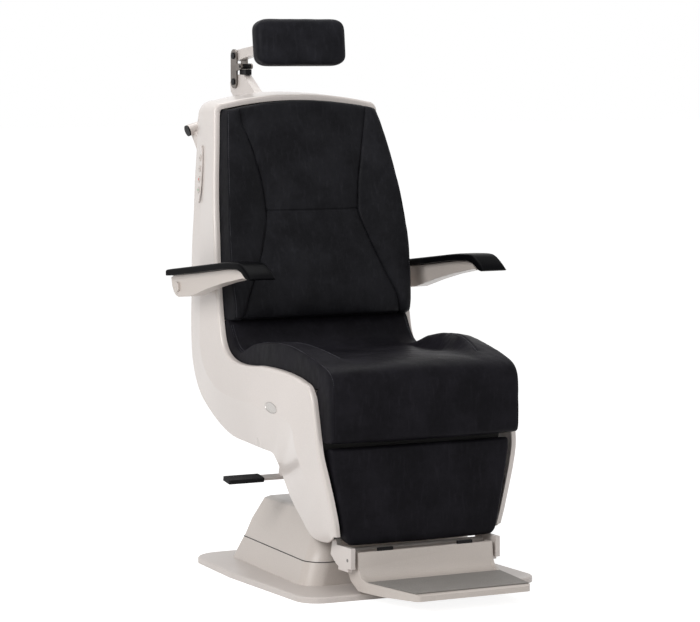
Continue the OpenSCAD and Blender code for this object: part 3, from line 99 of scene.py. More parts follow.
class Nodes:
    """A node tree that is filled from code."""

    def __init__(self, tree: bpy.types.NodeTree) -> None:
        """Empty the tree and keep it."""
        tree.nodes.clear()
        self.tree = tree

    def node(self, kind: str, values: dict[Any, Any] | None = None, **settings: Any) -> bpy.types.Node:
        """Add a node.

        Args:
            kind: The node's type.
            values: Values or links of its inputs, by name or number.
            settings: Its own settings.

        Returns:
            The node.
        """
        made = self.tree.nodes.new(kind)
        for key, value in settings.items():
            setattr(made, key, value)
        for key, value in (values or {}).items():
            self.feed(made.inputs[key], value)
        return made

    def feed(self, socket: Socket, value: Any) -> None:
        """Link an input or set it.

        Args:
            socket: The input.
            value: A wire or a socket to link, or else a plain value.
        """
        source = value.socket if isinstance(value, Wire) else value
        if isinstance(source, Socket):
            self.tree.links.new(source, socket)
        else:
            socket.default_value = source


class Wire:
    """A number in a material that can be used in sums and products."""

    def __init__(self, board: Board, socket: Socket) -> None:
        """Keep the socket and the board it lies on."""
        self.board = board
        self.socket = socket

    def math(self, operation: str, *values: Any, clamp: bool = False) -> Wire:
        """Result of one Math node on the values, kept between 0 and 1 if clamped."""
        made = self.board.node("ShaderNodeMath", dict(enumerate(values)), operation=operation,
                               use_clamp=clamp)
        return Wire(self.board, made.outputs[0])

    def __add__(self, other: Any) -> Wire:
        """Sum."""
        return self.math("ADD", self, other)

    def __radd__(self, other: Any) -> Wire:
        """Sum with a number on the left."""
        return self.math("ADD", other, self)

    def __sub__(self, other: Any) -> Wire:
        """Difference."""
        return self.math("SUBTRACT", self, other)

    def __rsub__(self, other: Any) -> Wire:
        """Difference from a number on the left."""
        return self.math("SUBTRACT", other, self)

    def __mul__(self, other: Any) -> Wire:
        """Product."""
        return self.math("MULTIPLY", self, other)

    def clamped(self) -> Wire:
        """Limit to 0 and 1."""
        return self.math("ADD", self, 0.0, clamp=True)

    def wave(self) -> Wire:
        """Sine."""
        return self.math("SINE", self)

    def between(self, low: float, high: float) -> Wire:
        """Mask that rises smoothly from 0 at low to 1 at high."""
        made = self.board.node("ShaderNodeMapRange", {"Value": self, "From Min": low, "From Max": high},
                               interpolation_type="SMOOTHSTEP")
        return Wire(self.board, made.outputs[0])


class Board(Nodes):
    """The nodes of one material, which read the object's own places."""

    def __init__(self, name: str) -> None:
        """Make a material with a bare shader.

        Args:
            name: The material's name.
        """
        self.material = bpy.data.materials.new(name)
        self.material.use_nodes = True
        super().__init__(self.material.node_tree)
        self.shader = self.node("ShaderNodeBsdfPrincipled")
        self.node("ShaderNodeOutputMaterial", {"Surface": self.shader.outputs[0]})
        self.place = self.node("ShaderNodeTexCoord").outputs["Object"]

    def turned(self, scale: Sequence[float], rotation: Sequence[float] = (0, 0, 0)) -> Socket:
        """Stretch the places along the axes, after a turn in radians."""
        return self.node("ShaderNodeMapping", {"Vector": self.place, "Rotation": rotation, "Scale": scale},
                         vector_type="POINT").outputs[0]

    def noise(self, scale: float, detail: float = 3.0, rough: float = 0.5,
              place: Socket | None = None) -> Wire:
        """Noise, about 0.5 on average: features per metre, octaves and their strength."""
        made = self.node("ShaderNodeTexNoise", {"Vector": place or self.place, "Scale": scale,
                                                "Detail": detail, "Roughness": rough}, noise_dimensions="3D")
        return Wire(self, made.outputs[0])

    def cells(self, scale: float, spread: float = 1.0) -> Wire:
        """Distance to the nearest centre in a pattern of cells per metre."""
        made = self.node("ShaderNodeTexVoronoi", {"Vector": self.place, "Scale": scale, "Randomness": spread},
                         feature="F1")
        return Wire(self, made.outputs["Distance"])

    def height(self) -> Wire:
        """Height in the object's own frame."""
        return Wire(self, self.node("ShaderNodeSeparateXYZ", {0: self.place}).outputs[2])

    def mix(self, share: Any, first: Any, second: Any) -> Socket:
        """Mix two colours by the second one's share."""
        return self.node("ShaderNodeMix", {0: share, 6: first, 7: second}, data_type="RGBA").outputs[2]

    def bump(self, height: Wire, depth: float, strength: float, under: Socket | None = None) -> Socket:
        """Relief as deep in metres as the depth where the height is 1, over another one."""
        values = {"Strength": strength, "Distance": depth, "Height": height}
        return self.node("ShaderNodeBump", values | ({"Normal": under} if under else {})).outputs[0]

    def finish(self, colour: Socket, rough: Wire, normal: Socket, **fixed: float) -> bpy.types.Material:
        """Lay the patterns on the shader.

        Args:
            colour: The base colour.
            rough: The roughness, which is kept between 0 and 1.
            normal: The relief.
            fixed: Plain values of other inputs, with underscores for the spaces in their names.

        Returns:
            The material.
        """
        values = {"Base Color": colour, "Roughness": rough.clamped(), "Normal": normal} | fixed
        for name, value in values.items():
            self.feed(self.shader.inputs[name.replace("_", " ")], value)
        return self.material


@dataclass(frozen=True)
class Finish:
    """A surface with the name of its material, its linear colour and the range of its shades."""

    name: str
    colour: Colour
    shades: tuple[float, float] = (0.7, 1.3)

    def varied(self, board: Board, share: Any) -> Socket:
        """Colour that goes from the first shade to the second as a pattern goes from 0 to 1."""
        return board.mix(share, *(shade(self.colour, factor) for factor in self.shades))

    def make(self) -> bpy.types.Material:
        """Build the material."""
        raise NotImplementedError


@dataclass(frozen=True)
class Lacquer(Finish):
    """Sprayed or moulded shell with a faint orange peel."""

    shades: tuple[float, float] = (0.925, 1.045)
    rough: float = 0.34
    peel: float = 0.00006
    scuff: float = 0.0
    coat: float = 0.25
    coat_rough: float = 0.1
    mark_shade: float = 0.74
    dust_shade: float = 0.88

    def make(self) -> bpy.types.Material:
        """Build the material."""
        board = Board(self.name)
        tone = (board.noise(2.6, 2.0) * 0.55 + board.noise(420.0, 2.0) * 0.45).between(0.3, 0.72)
        colour = self.varied(board, tone)
        rough = self.rough + (board.noise(9.0) - 0.5) * 0.12
        height = board.noise(520.0, 2.0) * 0.6 + board.noise(160.0, 1.0) * 0.4
        if self.scuff > 0:
            streak = board.noise(26.0, 6.0, 0.7, board.turned((1.0, 7.0, 3.0), (0.3, 0.2, 0.7)))
            mark = streak.between(0.63, 0.74) * self.scuff
            dust = board.noise(7.0, 4.0).between(0.5, 0.75) * self.scuff * 0.5
            colour = board.mix(mark, colour, shade(self.colour, self.mark_shade))
            colour = board.mix(dust, colour, shade(self.colour, self.dust_shade))
            rough = rough + mark * 0.2
        return board.finish(colour, rough, board.bump(height, self.peel, 0.6), Coat_Weight=self.coat,
                            Coat_Roughness=self.coat_rough)


@dataclass(frozen=True)
class Leather(Finish):
    """Coated upholstery cloth with a pebbled grain."""

    shades: tuple[float, float] = (0.55, 1.75)
    grain: float = 620.0
    rough: float = 0.44
    crinkle: float = 0.0011
    pebble_depth: float = 0.00022
    shine: float = 0.036

    def make(self) -> bpy.types.Material:
        """Build the material."""
        board = Board(self.name)
        pebble = board.cells(self.grain)
        fine = board.noise(self.grain * 2.4)
        folds = board.noise(30.0, 4.0, 0.55, board.turned((1.0, 1.0, 0.4), (0.2, 0.5, 0.4)))
        cloud = board.noise(9.0, 4.0, 0.6).between(0.36, 0.66)
        mottle = board.noise(75.0, 4.0, 0.6).between(0.36, 0.64)
        streak = board.noise(110.0, 3.0, 0.6, board.turned((1.0, 1.0, 0.18), (0.3, 0.6, 0.5)))
        rub = streak.between(0.52, 0.7)
        tone = (cloud * 0.4 + mottle * 0.1 + rub * 0.24 + pebble * 0.22).clamped()
        rough = self.rough + (cloud - 0.5) * 0.12 - rub * 0.06 + (fine - 0.5) * 0.08
        soft = board.bump(folds * 0.8 + streak * 0.2, self.crinkle, 0.8)
        grain = board.bump((1.0 - pebble) * 0.7 + fine * 0.3, self.pebble_depth, 0.7, soft)
        return board.finish(self.varied(board, tone), rough, grain, Specular_IOR_Level=self.shine)


@dataclass(frozen=True)
class BlackMoulding(Finish):
    """Plastic or foam skin with a fine sparked texture."""

    shades: tuple[float, float] = (0.8, 1.5)
    rough: float = 0.38
    spark: float = 900.0
    depth: float = 0.00006
    shine: float = 0.12

    def make(self) -> bpy.types.Material:
        """Build the material."""
        board = Board(self.name)
        cloud = board.noise(14.0)
        rub = board.noise(60.0, 5.0, 0.7).between(0.58, 0.75)
        rough = self.rough + (cloud - 0.5) * 0.16 - rub * 0.06
        return board.finish(self.varied(board, cloud * 0.5 + rub * 0.5), rough,
                            board.bump(board.noise(self.spark, 2.0), self.depth, 0.6),
                            Specular_IOR_Level=self.shine)


@dataclass(frozen=True)
class TurnedSteel(Finish):
    """Bare metal with the lines of its machining."""

    shades: tuple[float, float] = (1.0, 0.72)
    rough: float = 0.32
    metal: float = 1.0
    line_depth: float = 0.00004

    def make(self) -> bpy.types.Material:
        """Build the material."""
        board = Board(self.name)
        lines = board.noise(240.0, 4.0, 0.65, board.turned((9.0, 1.0, 1.0)))
        stain = board.noise(24.0, 4.0).between(0.45, 0.75)
        return board.finish(self.varied(board, stain * 0.5 + lines * 0.3),
                            self.rough + (lines - 0.5) * 0.2 + stain * 0.1,
                            board.bump(lines, self.line_depth, 0.5), Metallic=self.metal)


@dataclass(frozen=True)
class TreadRubber(Finish):
    """Grey rubber with a fine pimpled face and random dusty flecks."""

    shades: tuple[float, float] = (0.7, 1.35)
    rough: float = 0.72
    pimple_depth: float = 0.0004

    def make(self) -> bpy.types.Material:
        """Build the material."""
        board = Board(self.name)
        pimple = board.cells(300.0, 0.15)
        dust = board.noise(18.0, 5.0, 0.65)
        fleck = board.noise(900.0, 2.0).between(0.45, 0.65)
        tone = (dust * 0.55 + fleck * 0.45).clamped()
        return board.finish(self.varied(board, tone), self.rough + (dust - 0.5) * 0.2,
                            board.bump((1.0 - pimple * 2.0).clamped(), self.pimple_depth, 0.7))


@dataclass(frozen=True)
class Plywood(Finish):
    """Layered board behind the cushions."""

    shades: tuple[float, float] = (0.62, 1.15)
    layers: float = 4200.0
    rough: float = 0.6
    grain_depth: float = 0.0002

    def make(self) -> bpy.types.Material:
        """Build the material."""
        board = Board(self.name)
        grain = board.noise(60.0, 5.0, 0.6, board.turned((0.12, 1.0, 1.0)))
        layer = (board.height() * self.layers + grain * 2.0).wave() * 0.5 + 0.5
        return board.finish(self.varied(board, grain * 0.7 + layer * 0.3),
                            self.rough + (grain - 0.5) * 0.2, board.bump(grain, self.grain_depth, 0.5))


@dataclass(frozen=True)
class Thread(Finish):
    """Twisted sewing thread."""

    strands: float = 2600.0
    rough: float = 0.55
    twist_depth: float = 0.0001

    def make(self) -> bpy.types.Material:
        """Build the material."""
        board = Board(self.name)
        twist = board.noise(self.strands, 1.0)
        return board.finish(self.varied(board, twist), self.rough + twist * 0.2,
                            board.bump(twist, self.twist_depth, 0.6))


class Tone(Enum):
    """Named finishes of the chair."""

    SHELL = Lacquer("shell_lacquer", linear(216, 208, 203), rough=0.3, coat=0.35)
    COVER = Lacquer("cover_plastic", linear(203, 194, 187), rough=0.38, coat=0.2, scuff=0.12)
    PLATE = Lacquer("plate_paint", linear(207, 199, 194), rough=0.42, peel=0.00009, scuff=0.3, coat=0.1)
    CASTING = Lacquer("cast_foot_paint", linear(203, 194, 187), rough=0.36, scuff=0.25, coat=0.2)
    METALWORK = Lacquer("metalwork_paint", linear(212, 204, 199), rough=0.34, coat=0.25, scuff=0.08)
    UPHOLSTERY = Leather("black_upholstery", linear(26, 25, 29))
    # Painted light: the seat's black upholstery, painted lighter to stand in for the stronger light that the
    # back catches.
    BACK = Leather("back_upholstery_painted_lighter", linear(30, 30, 33))
    # Painted light: the same black upholstery, painted lighter to stand in for the stronger light that the
    # headrest pad catches.
    HEAD_UPHOLSTERY_PAINTED_LIGHTER = Leather("head_upholstery_painted_lighter", linear(33, 33, 37), grain=700.0)
    ARM_PAD = BlackMoulding("arm_pad_skin", linear(10, 10, 12), rough=0.3, shine=0.014)
    GRIP = BlackMoulding("grip_rubber", linear(26, 25, 27), rough=0.55, spark=700.0, depth=0.00012)
    BLACK = BlackMoulding("black_plastic", linear(22, 21, 23), rough=0.42)
    STEEL = TurnedSteel("turned_steel", linear(176, 176, 180))
    LINK = TurnedSteel("plated_link", linear(124, 117, 112), rough=0.34, metal=0.9)
    ZINC = TurnedSteel("zinc_plate", linear(140, 138, 136), rough=0.42, metal=0.85)
    BADGE = TurnedSteel("badge_metal", linear(200, 196, 192), rough=0.3, metal=0.55)
    TREAD = TreadRubber("tread_rubber", linear(136, 132, 128))
    # Painted shade: the board is near black so that the gaps between the cushions, where it shows, read as
    # shade.
    BOARD_PAINTED_SHADE = Plywood("cushion_board", linear(24, 22, 21))
    THREAD = Thread("upholstery_thread", linear(70, 70, 77))
    RED = BlackMoulding("red_mark", linear(205, 60, 48), rough=0.4)
    GREEN = BlackMoulding("green_mark", linear(60, 160, 110), rough=0.4)
    GREY_MARK = BlackMoulding("grey_mark", linear(120, 112, 106), rough=0.4)


class Paintbox:
    """Builds each finish once."""

    def __init__(self) -> None:
        """Start empty."""
        self.made: dict[Tone, bpy.types.Material] = {}

    def get(self, tone: Tone) -> bpy.types.Material:
        """Give the material of a finish.

        Args:
            tone: The finish.

        Returns:
            Its material.
        """
        if tone not in self.made:
            self.made[tone] = tone.value.make()
        return self.made[tone]


def finer(rows: Array, steps: int) -> Array:
    """Add rows along a smooth curve through all rows of a table.

    Args:
        rows: The table.
        steps: New rows for each of its steps.

    Returns:
        The finer table.
    """
    out = []
    last = len(rows) - 1
    for i in range(last):
        a, b = rows[max(i - 1, 0)], rows[i]
        c, d = rows[i + 1], rows[min(i + 2, last)]
        for k in range(steps):
            t = k / steps
            out.append((2 * b + (c - a) * t + (2 * a - 5 * b + 4 * c - d) * t * t
                        + (3 * b - a - 3 * c + d) * t ** 3) / 2)
    out.append(rows[last])
    return np.array(out)


def unit(vector: Array) -> Array:
    """Scale a vector to length 1."""
    return vector / max(float(np.linalg.norm(vector)), TINY)


def mixed(a: Any, b: Any, share: Any) -> Any:
    """Go from a to b by a share."""
    return a + (b - a) * share


def bell(distance: float, width: float) -> float:
    """Bump of height 1 that fades over a width."""
    return math.exp(-(distance / width) ** 2)


def ellipse(half: float, rise: float, count: int, start: float = 0.0) -> list[tuple[float, float]]:
    """Points round an ellipse from half its length and height, from an angle in degrees on."""
    angles = [math.radians(start + 360.0 * k / count) for k in range(count)]
    return [(half * math.cos(a), rise * math.sin(a)) for a in angles]


def swung(u: Any, v: Any, degrees: float) -> tuple[Any, Any]:
    """Turn a place in a plane about the plane's origin."""
    a = math.radians(degrees)
    return u * math.cos(a) - v * math.sin(a), u * math.sin(a) + v * math.cos(a)


class Piece:
    """A finished piece on its way into the scene."""

    def __init__(self, name: str, tone: Tone, paint: Paintbox, body: str = "chair") -> None:
        """Start a piece.

        Args:
            name: The object's name.
            tone: Its finish.
            paint: The paintbox.
            body: The body it rides on.
        """
        self.name = name
        self.tone = tone
        self.paint = paint
        self.body = body
        self.mesh = bmesh.new()

    def grid(self, points: Array, closed: bool = False) -> Piece:
        """Add faces over a grid of points.

        Args:
            points: Rows and columns of points.
            closed: Whether the last column joins the first.

        Returns:
            The piece itself.
        """
        rows, cols = points.shape[0], points.shape[1]
        made = [[self.mesh.verts.new(points[i, j]) for j in range(cols)] for i in range(rows)]
        for i in range(rows - 1):
            for j in range(cols if closed else cols - 1):
                n = (j + 1) % cols
                self.mesh.faces.new((made[i][j], made[i][n], made[i + 1][n], made[i + 1][j]))
        return self

    def sheet(self, outer: Array, inner: Array) -> Piece:
        """Add a wall between two grids, closed all round.

        Args:
            outer: The outer grid.
            inner: The inner grid, with as many rows and columns.

        Returns:
            The piece itself.
        """
        self.grid(outer)
        self.grid(inner[:, ::-1])
        for side in (np.s_[0], np.s_[-1], np.s_[:, 0], np.s_[:, -1]):
            self.grid(np.stack([outer[side], inner[side]]))
        return self

    def cover(self, front: Array, rear: Array, replaces: str, slot: str = "upholstery",
              angle: float = 60.0) -> bpy.types.Object:
        """Close a soft cover between its front and its rear, and finish it."""
        return self.sheet(front, rear).done(slot, replaces, angle=angle)

    def done(self, slot: str, *replaces: str, angle: float = 35.0) -> bpy.types.Object:
        """Finish the mesh and put it on its body.

        Args:
            slot: The record's material slot; not used.
            replaces: CAD nodes that the piece stands for.
            angle: Edges that turn more than this stay sharp, in degrees.

        Returns:
            The object.
        """
        bmesh.ops.remove_doubles(self.mesh, verts=self.mesh.verts, dist=MERGE)
        bmesh.ops.dissolve_degenerate(self.mesh, dist=MERGE / 2, edges=self.mesh.edges)
        bmesh.ops.recalc_face_normals(self.mesh, faces=self.mesh.faces)
        data = bpy.data.meshes.new(self.name)
        self.mesh.to_mesh(data)
        self.mesh.free()
        data.shade_smooth()
        data.set_sharp_from_angle(angle=math.radians(angle))
        made = put(self.name, data)
        data.materials.append(self.paint.get(self.tone))
        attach(made, self.body)
        if replaces:
            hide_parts(*replaces)
        log.info("%s: %d faces", self.name, len(data.polygons))
        return made


@dataclass
class ChairBody:
    """Sizes of the tilting body, in metres, and places in it as shares of them."""

    height: float = 1.2
    length: float = 0.8
    width: float = 0.57
    shell_t: float = 0.005
    lip_w: float = 0.016
    bulge: float = 0.016
    rise: float = 0.022

    def y(self, share: Any) -> Any:
        """Place along the body."""
        return share * self.length

    def z(self, share: Any) -> Any:
        """Height above the floor."""
        return share * self.height

    def x(self, share: Any) -> Any:
        """Half width."""
        return share * self.width / 2


SHELL_SHARES = np.array([
    [0.459, 0.971, 0.863, 0.568, 0.971, 0.839, 0.614, 0.971, 0.821, 1.00],
    [0.425, 0.904, 0.912, 0.563, 0.900, 0.867, 0.611, 0.900, 0.842, 1.00],
    [0.403, 0.842, 0.947, 0.551, 0.838, 0.884, 0.604, 0.834, 0.870, 1.00],
    [0.378, 0.775, 0.979, 0.535, 0.773, 0.905, 0.594, 0.768, 0.895, 1.00],
    [0.359, 0.708, 0.996, 0.509, 0.707, 0.944, 0.589, 0.704, 0.919, 1.10],
    [0.350, 0.642, 1.000, 0.490, 0.643, 0.972, 0.585, 0.643, 0.933, 1.20],
    [0.338, 0.583, 1.000, 0.479, 0.575, 0.989, 0.576, 0.583, 0.947, 1.30],
    [0.325, 0.533, 1.000, 0.475, 0.517, 0.996, 0.575, 0.533, 0.954, 1.40],
    [0.309, 0.496, 1.000, 0.473, 0.483, 1.000, 0.573, 0.488, 0.954, 1.40],
    [0.281, 0.472, 1.000, 0.461, 0.453, 1.000, 0.569, 0.446, 0.951, 1.30],
    [0.233, 0.458, 1.000, 0.438, 0.428, 1.000, 0.556, 0.406, 0.940, 1.10],
    [0.169, 0.453, 1.000, 0.398, 0.406, 1.000, 0.525, 0.373, 0.937, 0.90],
    [0.100, 0.454, 1.000, 0.330, 0.386, 1.000, 0.474, 0.345, 0.933, 0.60],
    [0.025, 0.458, 1.000, 0.238, 0.378, 1.000, 0.388, 0.312, 0.923, 0.30],
    [-0.050, 0.458, 1.000, 0.138, 0.376, 1.000, 0.288, 0.290, 0.919, 0],
    [-0.125, 0.456, 1.000, 0.038, 0.370, 1.000, 0.175, 0.283, 0.919, 0],
    [-0.200, 0.451, 1.000, -0.063, 0.362, 1.000, 0.063, 0.278, 0.919, 0],
    [-0.256, 0.444, 1.000, -0.119, 0.358, 1.000, 0, 0.275, 0.919, 0],
    [-0.300, 0.435, 1.000, -0.163, 0.355, 1.000, -0.028, 0.263, 0.919, 0],
    [-0.328, 0.413, 1.000, -0.193, 0.343, 1.000, -0.048, 0.242, 0.902, 0],
    [-0.340, 0.385, 1.000, -0.206, 0.320, 1.000, -0.065, 0.217, 0.884, 0],
    [-0.356, 0.342, 1.000, -0.219, 0.288, 0.982, -0.088, 0.190, 0.867, 0],
    [-0.369, 0.298, 0.993, -0.238, 0.258, 0.960, -0.110, 0.169, 0.849, 0],
    [-0.376, 0.256, 0.958, -0.263, 0.225, 0.926, -0.140, 0.146, 0.828, 0],
    [-0.378, 0.214, 0.916, -0.281, 0.196, 0.898, -0.173, 0.125, 0.818, 0],
    [-0.3775, 0.184, 0.887, -0.304, 0.165, 0.868, -0.206, 0.113, 0.811, 0],
    [-0.376, 0.155, 0.860, -0.325, 0.138, 0.848, -0.256, 0.109, 0.807, 0],
    [-0.370, 0.128, 0.838, -0.345, 0.1215, 0.832, -0.306, 0.111, 0.811, 0]])


@dataclass
class Shells:
    """The moulded shells: two sides, the crown and the rear cover."""

    body: ChairBody
    paint: Paintbox
    steps: int = 8
    base_steps: int = 2
    back_rows: int = 13
    back_stride: int = 2
    corner_steps: int = 8
    rim_inner_r: float = 0.003
    lip_share: float = 0.8
    turn_ease: float = 0.0005
    hump_power: int = 3
    arch_end: float = 0.9615
    arch_steps: int = 26
    arc_steps: int = 13
    crown_rim: tuple[float, ...] = (0.761, 0.984, 0.091, 0.0217, 0.466)
    crown_crease: tuple[float, ...] = (0.712, 0.981, 0.119, 0.0283, 0.569)
    crown_edge: tuple[float, ...] = (0.656, 0.978, 0.158, 0.0317, 0.616)
    face_shares: tuple[float, ...] = (0.04, 0.2, 0.4, 0.6, 0.8, 0.93, 0.985)
    facet_shares: tuple[float, ...] = (0.04, 0.2, 0.5, 0.8, 0.97)
    turn_shares: tuple[float, ...] = (0.12, 0.25, 0.4, 0.55, 0.7, 0.85)

    def rows(self) -> Array:
        """Table of the shell's rows in metres, with each step of the given table divided."""
        b = self.body
        s = finer(SHELL_SHARES, self.steps)
        places = [at(s[:, i]) for i, at in enumerate((b.y, b.z, b.x) * 3)]
        return np.stack([*places, s[:, 9] * b.bulge], axis=1)

    def section(self, rim: Array, side: Array, inwards: Array, crease: Array, edge: Array,
                depth: float) -> list[Array]:
        """One section from the lip to the rear edge.

        Args:
            rim: The rim's corner.
            side: Outward direction of the side.
            inwards: Direction into the shell at the rim.
            crease: Where the side turns inwards.
            edge: The rear edge.
            depth: How far the section lies under the outer face.

        Returns:
            The points.
        """
        rim_r = self.body.shell_t + self.rim_inner_r
        centre = rim - rim_r * side + rim_r * inwards
        r = rim_r - depth
        points = [rim - self.body.lip_w * side + depth * inwards,
                  rim - (self.body.lip_w * self.lip_share) * side + depth * inwards]
        for k in range(self.corner_steps + 1):
            a = math.radians(90.0 * k / self.corner_steps)
            points.append(centre + r * (math.sin(a) * side - math.cos(a) * inwards))
        start, turn, end = points[-1], crease - depth * side, edge - depth * side
        points += [mixed(start, turn, t) for t in (*self.face_shares, 1.0)]
        points += [mixed(turn, end, t) for t in (*self.facet_shares, 1.0)]
        return points

    def across(self, rows: Array, i: int, first: int) -> Array:
        """Direction square to the line that two columns of the rows run along, at row i.

        Args:
            rows: The table of rows in metres.
            i: The row.
            first: The first of the two columns.

        Returns:
            The direction, of length 1.
        """
        a, b = rows[max(i - 1, 0)], rows[min(i + 1, len(rows) - 1)]
        run = unit(b[first:first + 2] - a[first:first + 2])
        return np.array([0.0, -run[1], run[0]])

    def side_grid(self, sign: float, depth: float) -> Array:
        """Grid of one side shell: the right one for a sign of 1, the left one for -1.

        Args:
            sign: 1 or -1.
            depth: How far the grid lies under the outer face.

        Returns:
            Rows and columns of points.
        """
        rows = self.rows()
        side = np.array([1.0, 0.0, 0.0])
        sections = [self.section(s[[2, 0, 1]], side, self.across(rows, i, 0), s[[5, 3, 4]], s[[8, 6, 7]],
                                 depth) for i, s in enumerate(rows)]
        return np.array(sections) * np.array([sign, 1.0, 1.0])

    def crown_point(self, s: Sequence[float], k: float, a: float | None) -> Array:
        """Point of a crown path, on its corner arc at angle a or on the arch at share k.

        Args:
            s: The path's shares.
            k: Share of the way along the arch.
            a: Angle on the corner arc in degrees, or None on the arch.

        Returns:
            The point.
        """
        b = self.body
        if a is not None:
            t = math.radians(a)
            return np.array([b.x(s[0] + s[2] * math.cos(t)), b.y(s[4]), b.z(s[1] + s[3] * math.sin(t))])
        return np.array([b.x(s[0]) * k, b.y(s[4]), b.z(s[1] + s[3]) + b.rise * (1 - k * k)])

    def crown_rows(self, depth: float) -> Array:
        """Sections of the whole crown from left to right.

        Args:
            depth: How far they lie under the outer face.

        Returns:
            Rows and columns of points.
        """
        b = self.body
        places = [(k, None, unit(np.array([2 * b.rise * k / b.x(self.crown_rim[0]), 0, 1.0])))
                  for k in np.linspace(0, self.arch_end, self.arch_steps)]
        places += [(0, a, np.array([math.cos(math.radians(a)), 0, math.sin(math.radians(a))]))
                   for a in np.linspace(90, 0, self.arc_steps)]
        inwards = np.array([0.0, 1.0, 0.0])
        half = []
        for k, a, side in places:
            rim, crease, edge = (self.crown_point(path, k, a)
                                 for path in (self.crown_rim, self.crown_crease, self.crown_edge))
            half.append(self.section(rim, side, inwards, crease, edge, depth))
        return whole(np.array([*half, self.side_grid(1.0, depth)[0]]))

    def back_row(self, rows: Array, edge: Array, i: int, depth: float) -> Array:
        """One row of the rear cover.

        Args:
            rows: The table of rows in metres.
            edge: The crown's rear edge.
            i: The row.
            depth: How far it lies under the outer face.

        Returns:
            The points.
        """
        s, outwards = rows[i], self.across(rows, i, 6)
        k = edge[:, 0] / edge[-1, 0]
        none, steep = np.zeros_like(k), np.abs(k) ** self.hump_power
        hump = 1 - steep
        face = np.stack([s[8] * k, none + s[6], none + s[7]], axis=1) + (s[9] * hump)[:, None] * outwards
        turn = np.stack([np.sign(k) * steep, none, none], axis=1) + hump[:, None] * outwards
        return face - depth * (turn / np.linalg.norm(turn, axis=1)[:, None])

    def back_grid(self, depth: float) -> Array:
        """Grid of the rear cover from the crown down.

        Args:
            depth: How far it lies under the outer face.

        Returns:
            Rows and columns of points.
        """
        rows = self.rows()
        edge = self.crown_rows(0.0)[:, -1]
        top = self.crown_rows(depth)[:, -1]
        first = self.steps // self.base_steps
        under = self.back_row(rows, edge, first, depth)
        out = [top]
        for t in self.turn_shares:
            a = math.radians(90 * t)
            row = mixed(top, under, np.array([t, math.sin(a), 1 - math.cos(a)]))
            row[:, 1] += self.turn_ease * math.sin(2 * a)
            out.append(row)
        for i in range(first, self.back_rows * self.steps + 1, self.back_stride):
            out.append(self.back_row(rows, edge, i, depth))
        return np.array(out)

    def build(self) -> None:
        """Build every shell."""
        for node, grid in (("side_shell_right", lambda depth: self.side_grid(1.0, depth)),
                           ("side_shell_left", lambda depth: self.side_grid(-1.0, depth)),
                           ("back_crown", self.crown_rows), ("back_shell", self.back_grid)):
            piece = Piece(f"{node}_skin", Tone.SHELL, self.paint)
            piece.sheet(grid(0.0), grid(self.body.shell_t)).done("shell", node)


BACK_SHARES = np.array([
    [0.986, 0.462, 0.462, 0.640, 0.482, 0.735, 0.740, 1.00, 0.981],
    [0.991, 0.447, 0.443, 0.650, 0.482, 0.755, 0.757, 1.00, 0.979],
    [0.990, 0.436, 0.430, 0.655, 0.481, 0.770, 0.772, 1.00, 0.976],
    [0.981, 0.426, 0.421, 0.650, 0.480, 0.784, 0.790, 1.00, 0.972],
    [0.959, 0.410, 0.419, 0.639, 0.474, 0.802, 0.812, 0.75, 0.957],
    [0.933, 0.395, 0.405, 0.607, 0.463, 0.821, 0.831, 0.45, 0.933],
    [0.906, 0.380, 0.391, 0.572, 0.449, 0.841, 0.850, 0.20, 0.906],
    [0.875, 0.364, 0.380, 0.540, 0.436, 0.858, 0.868, 0.05, 0.875],
    [0.843, 0.349, 0.371, 0.509, 0.423, 0.874, 0.885, 0, 0.843],
    [0.813, 0.335, 0.364, 0.491, 0.409, 0.889, 0.900, 0, 0.813],
    [0.780, 0.323, 0.357, 0.480, 0.398, 0.903, 0.913, 0, 0.780],
    [0.771, 0.320, 0.3555, 0.477, 0.394, 0.907, 0.917, 0, 0.771],
    [0.762, 0.318, 0.351, 0.480, 0.391, 0.911, 0.920, 0, 0.762],
    [0.742, 0.311, 0.340, 0.498, 0.385, 0.918, 0.926, 0, 0.742],
    [0.712, 0.301, 0.325, 0.540, 0.376, 0.926, 0.934, 0, 0.712],
    [0.669, 0.291, 0.304, 0.607, 0.369, 0.929, 0.938, 0, 0.669],
    [0.628, 0.284, 0.290, 0.684, 0.364, 0.928, 0.938, 0, 0.628],
    [0.587, 0.276, 0.276, 0.765, 0.359, 0.918, 0.938, 0, 0.587],
    [0.563, 0.274, 0.274, 0.793, 0.356, 0.912, 0.938, 0, 0.563],
    [0.546, 0.280, 0.280, 0.807, 0.355, 0.909, 0.936, 0, 0.549],
    [0.539, 0.300, 0.300, 0.814, 0.355, 0.905, 0.932, 0, 0.541]])

SEAT_SHARES = np.array([
    [0.318, 0.5405, 0.343, 0.531, 0], [0.300, 0.527, 0.328, 0.510, 0], [0.278, 0.505, 0.313, 0.488, 0],
    [0.250, 0.486, 0.290, 0.463, 0], [0.213, 0.475, 0.256, 0.442, 0.05], [0.175, 0.472, 0.206, 0.434, 0.38],
    [0.138, 0.471, 0.144, 0.432, 0.67], [0.094, 0.470, 0.094, 0.432, 0.85], [0.044, 0.471, 0.044, 0.432, 0.96],
    [-0.010, 0.472, -0.010, 0.432, 1.00], [-0.064, 0.474, -0.064, 0.432, 0.96],
    [-0.130, 0.478, -0.130, 0.432, 0.82], [-0.198, 0.480, -0.198, 0.432, 0.60],
    [-0.256, 0.482, -0.256, 0.432, 0.35], [-0.313, 0.481, -0.313, 0.432, 0.15],
    [-0.363, 0.476, -0.340, 0.430, 0.04], [-0.394, 0.467, -0.350, 0.423, 0], [-0.411, 0.452, -0.356, 0.412, 0],
    [-0.419, 0.429, -0.359, 0.396, 0], [-0.421, 0.400, -0.360, 0.383, 0], [-0.421, 0.367, -0.360, 0.367, 0],
    [-0.420, 0.342, -0.360, 0.346, 0], [-0.414, 0.329, -0.361, 0.335, 0], [-0.398, 0.324, -0.366, 0.330, 0],
    [-0.378, 0.3235, -0.372, 0.328, 0]])

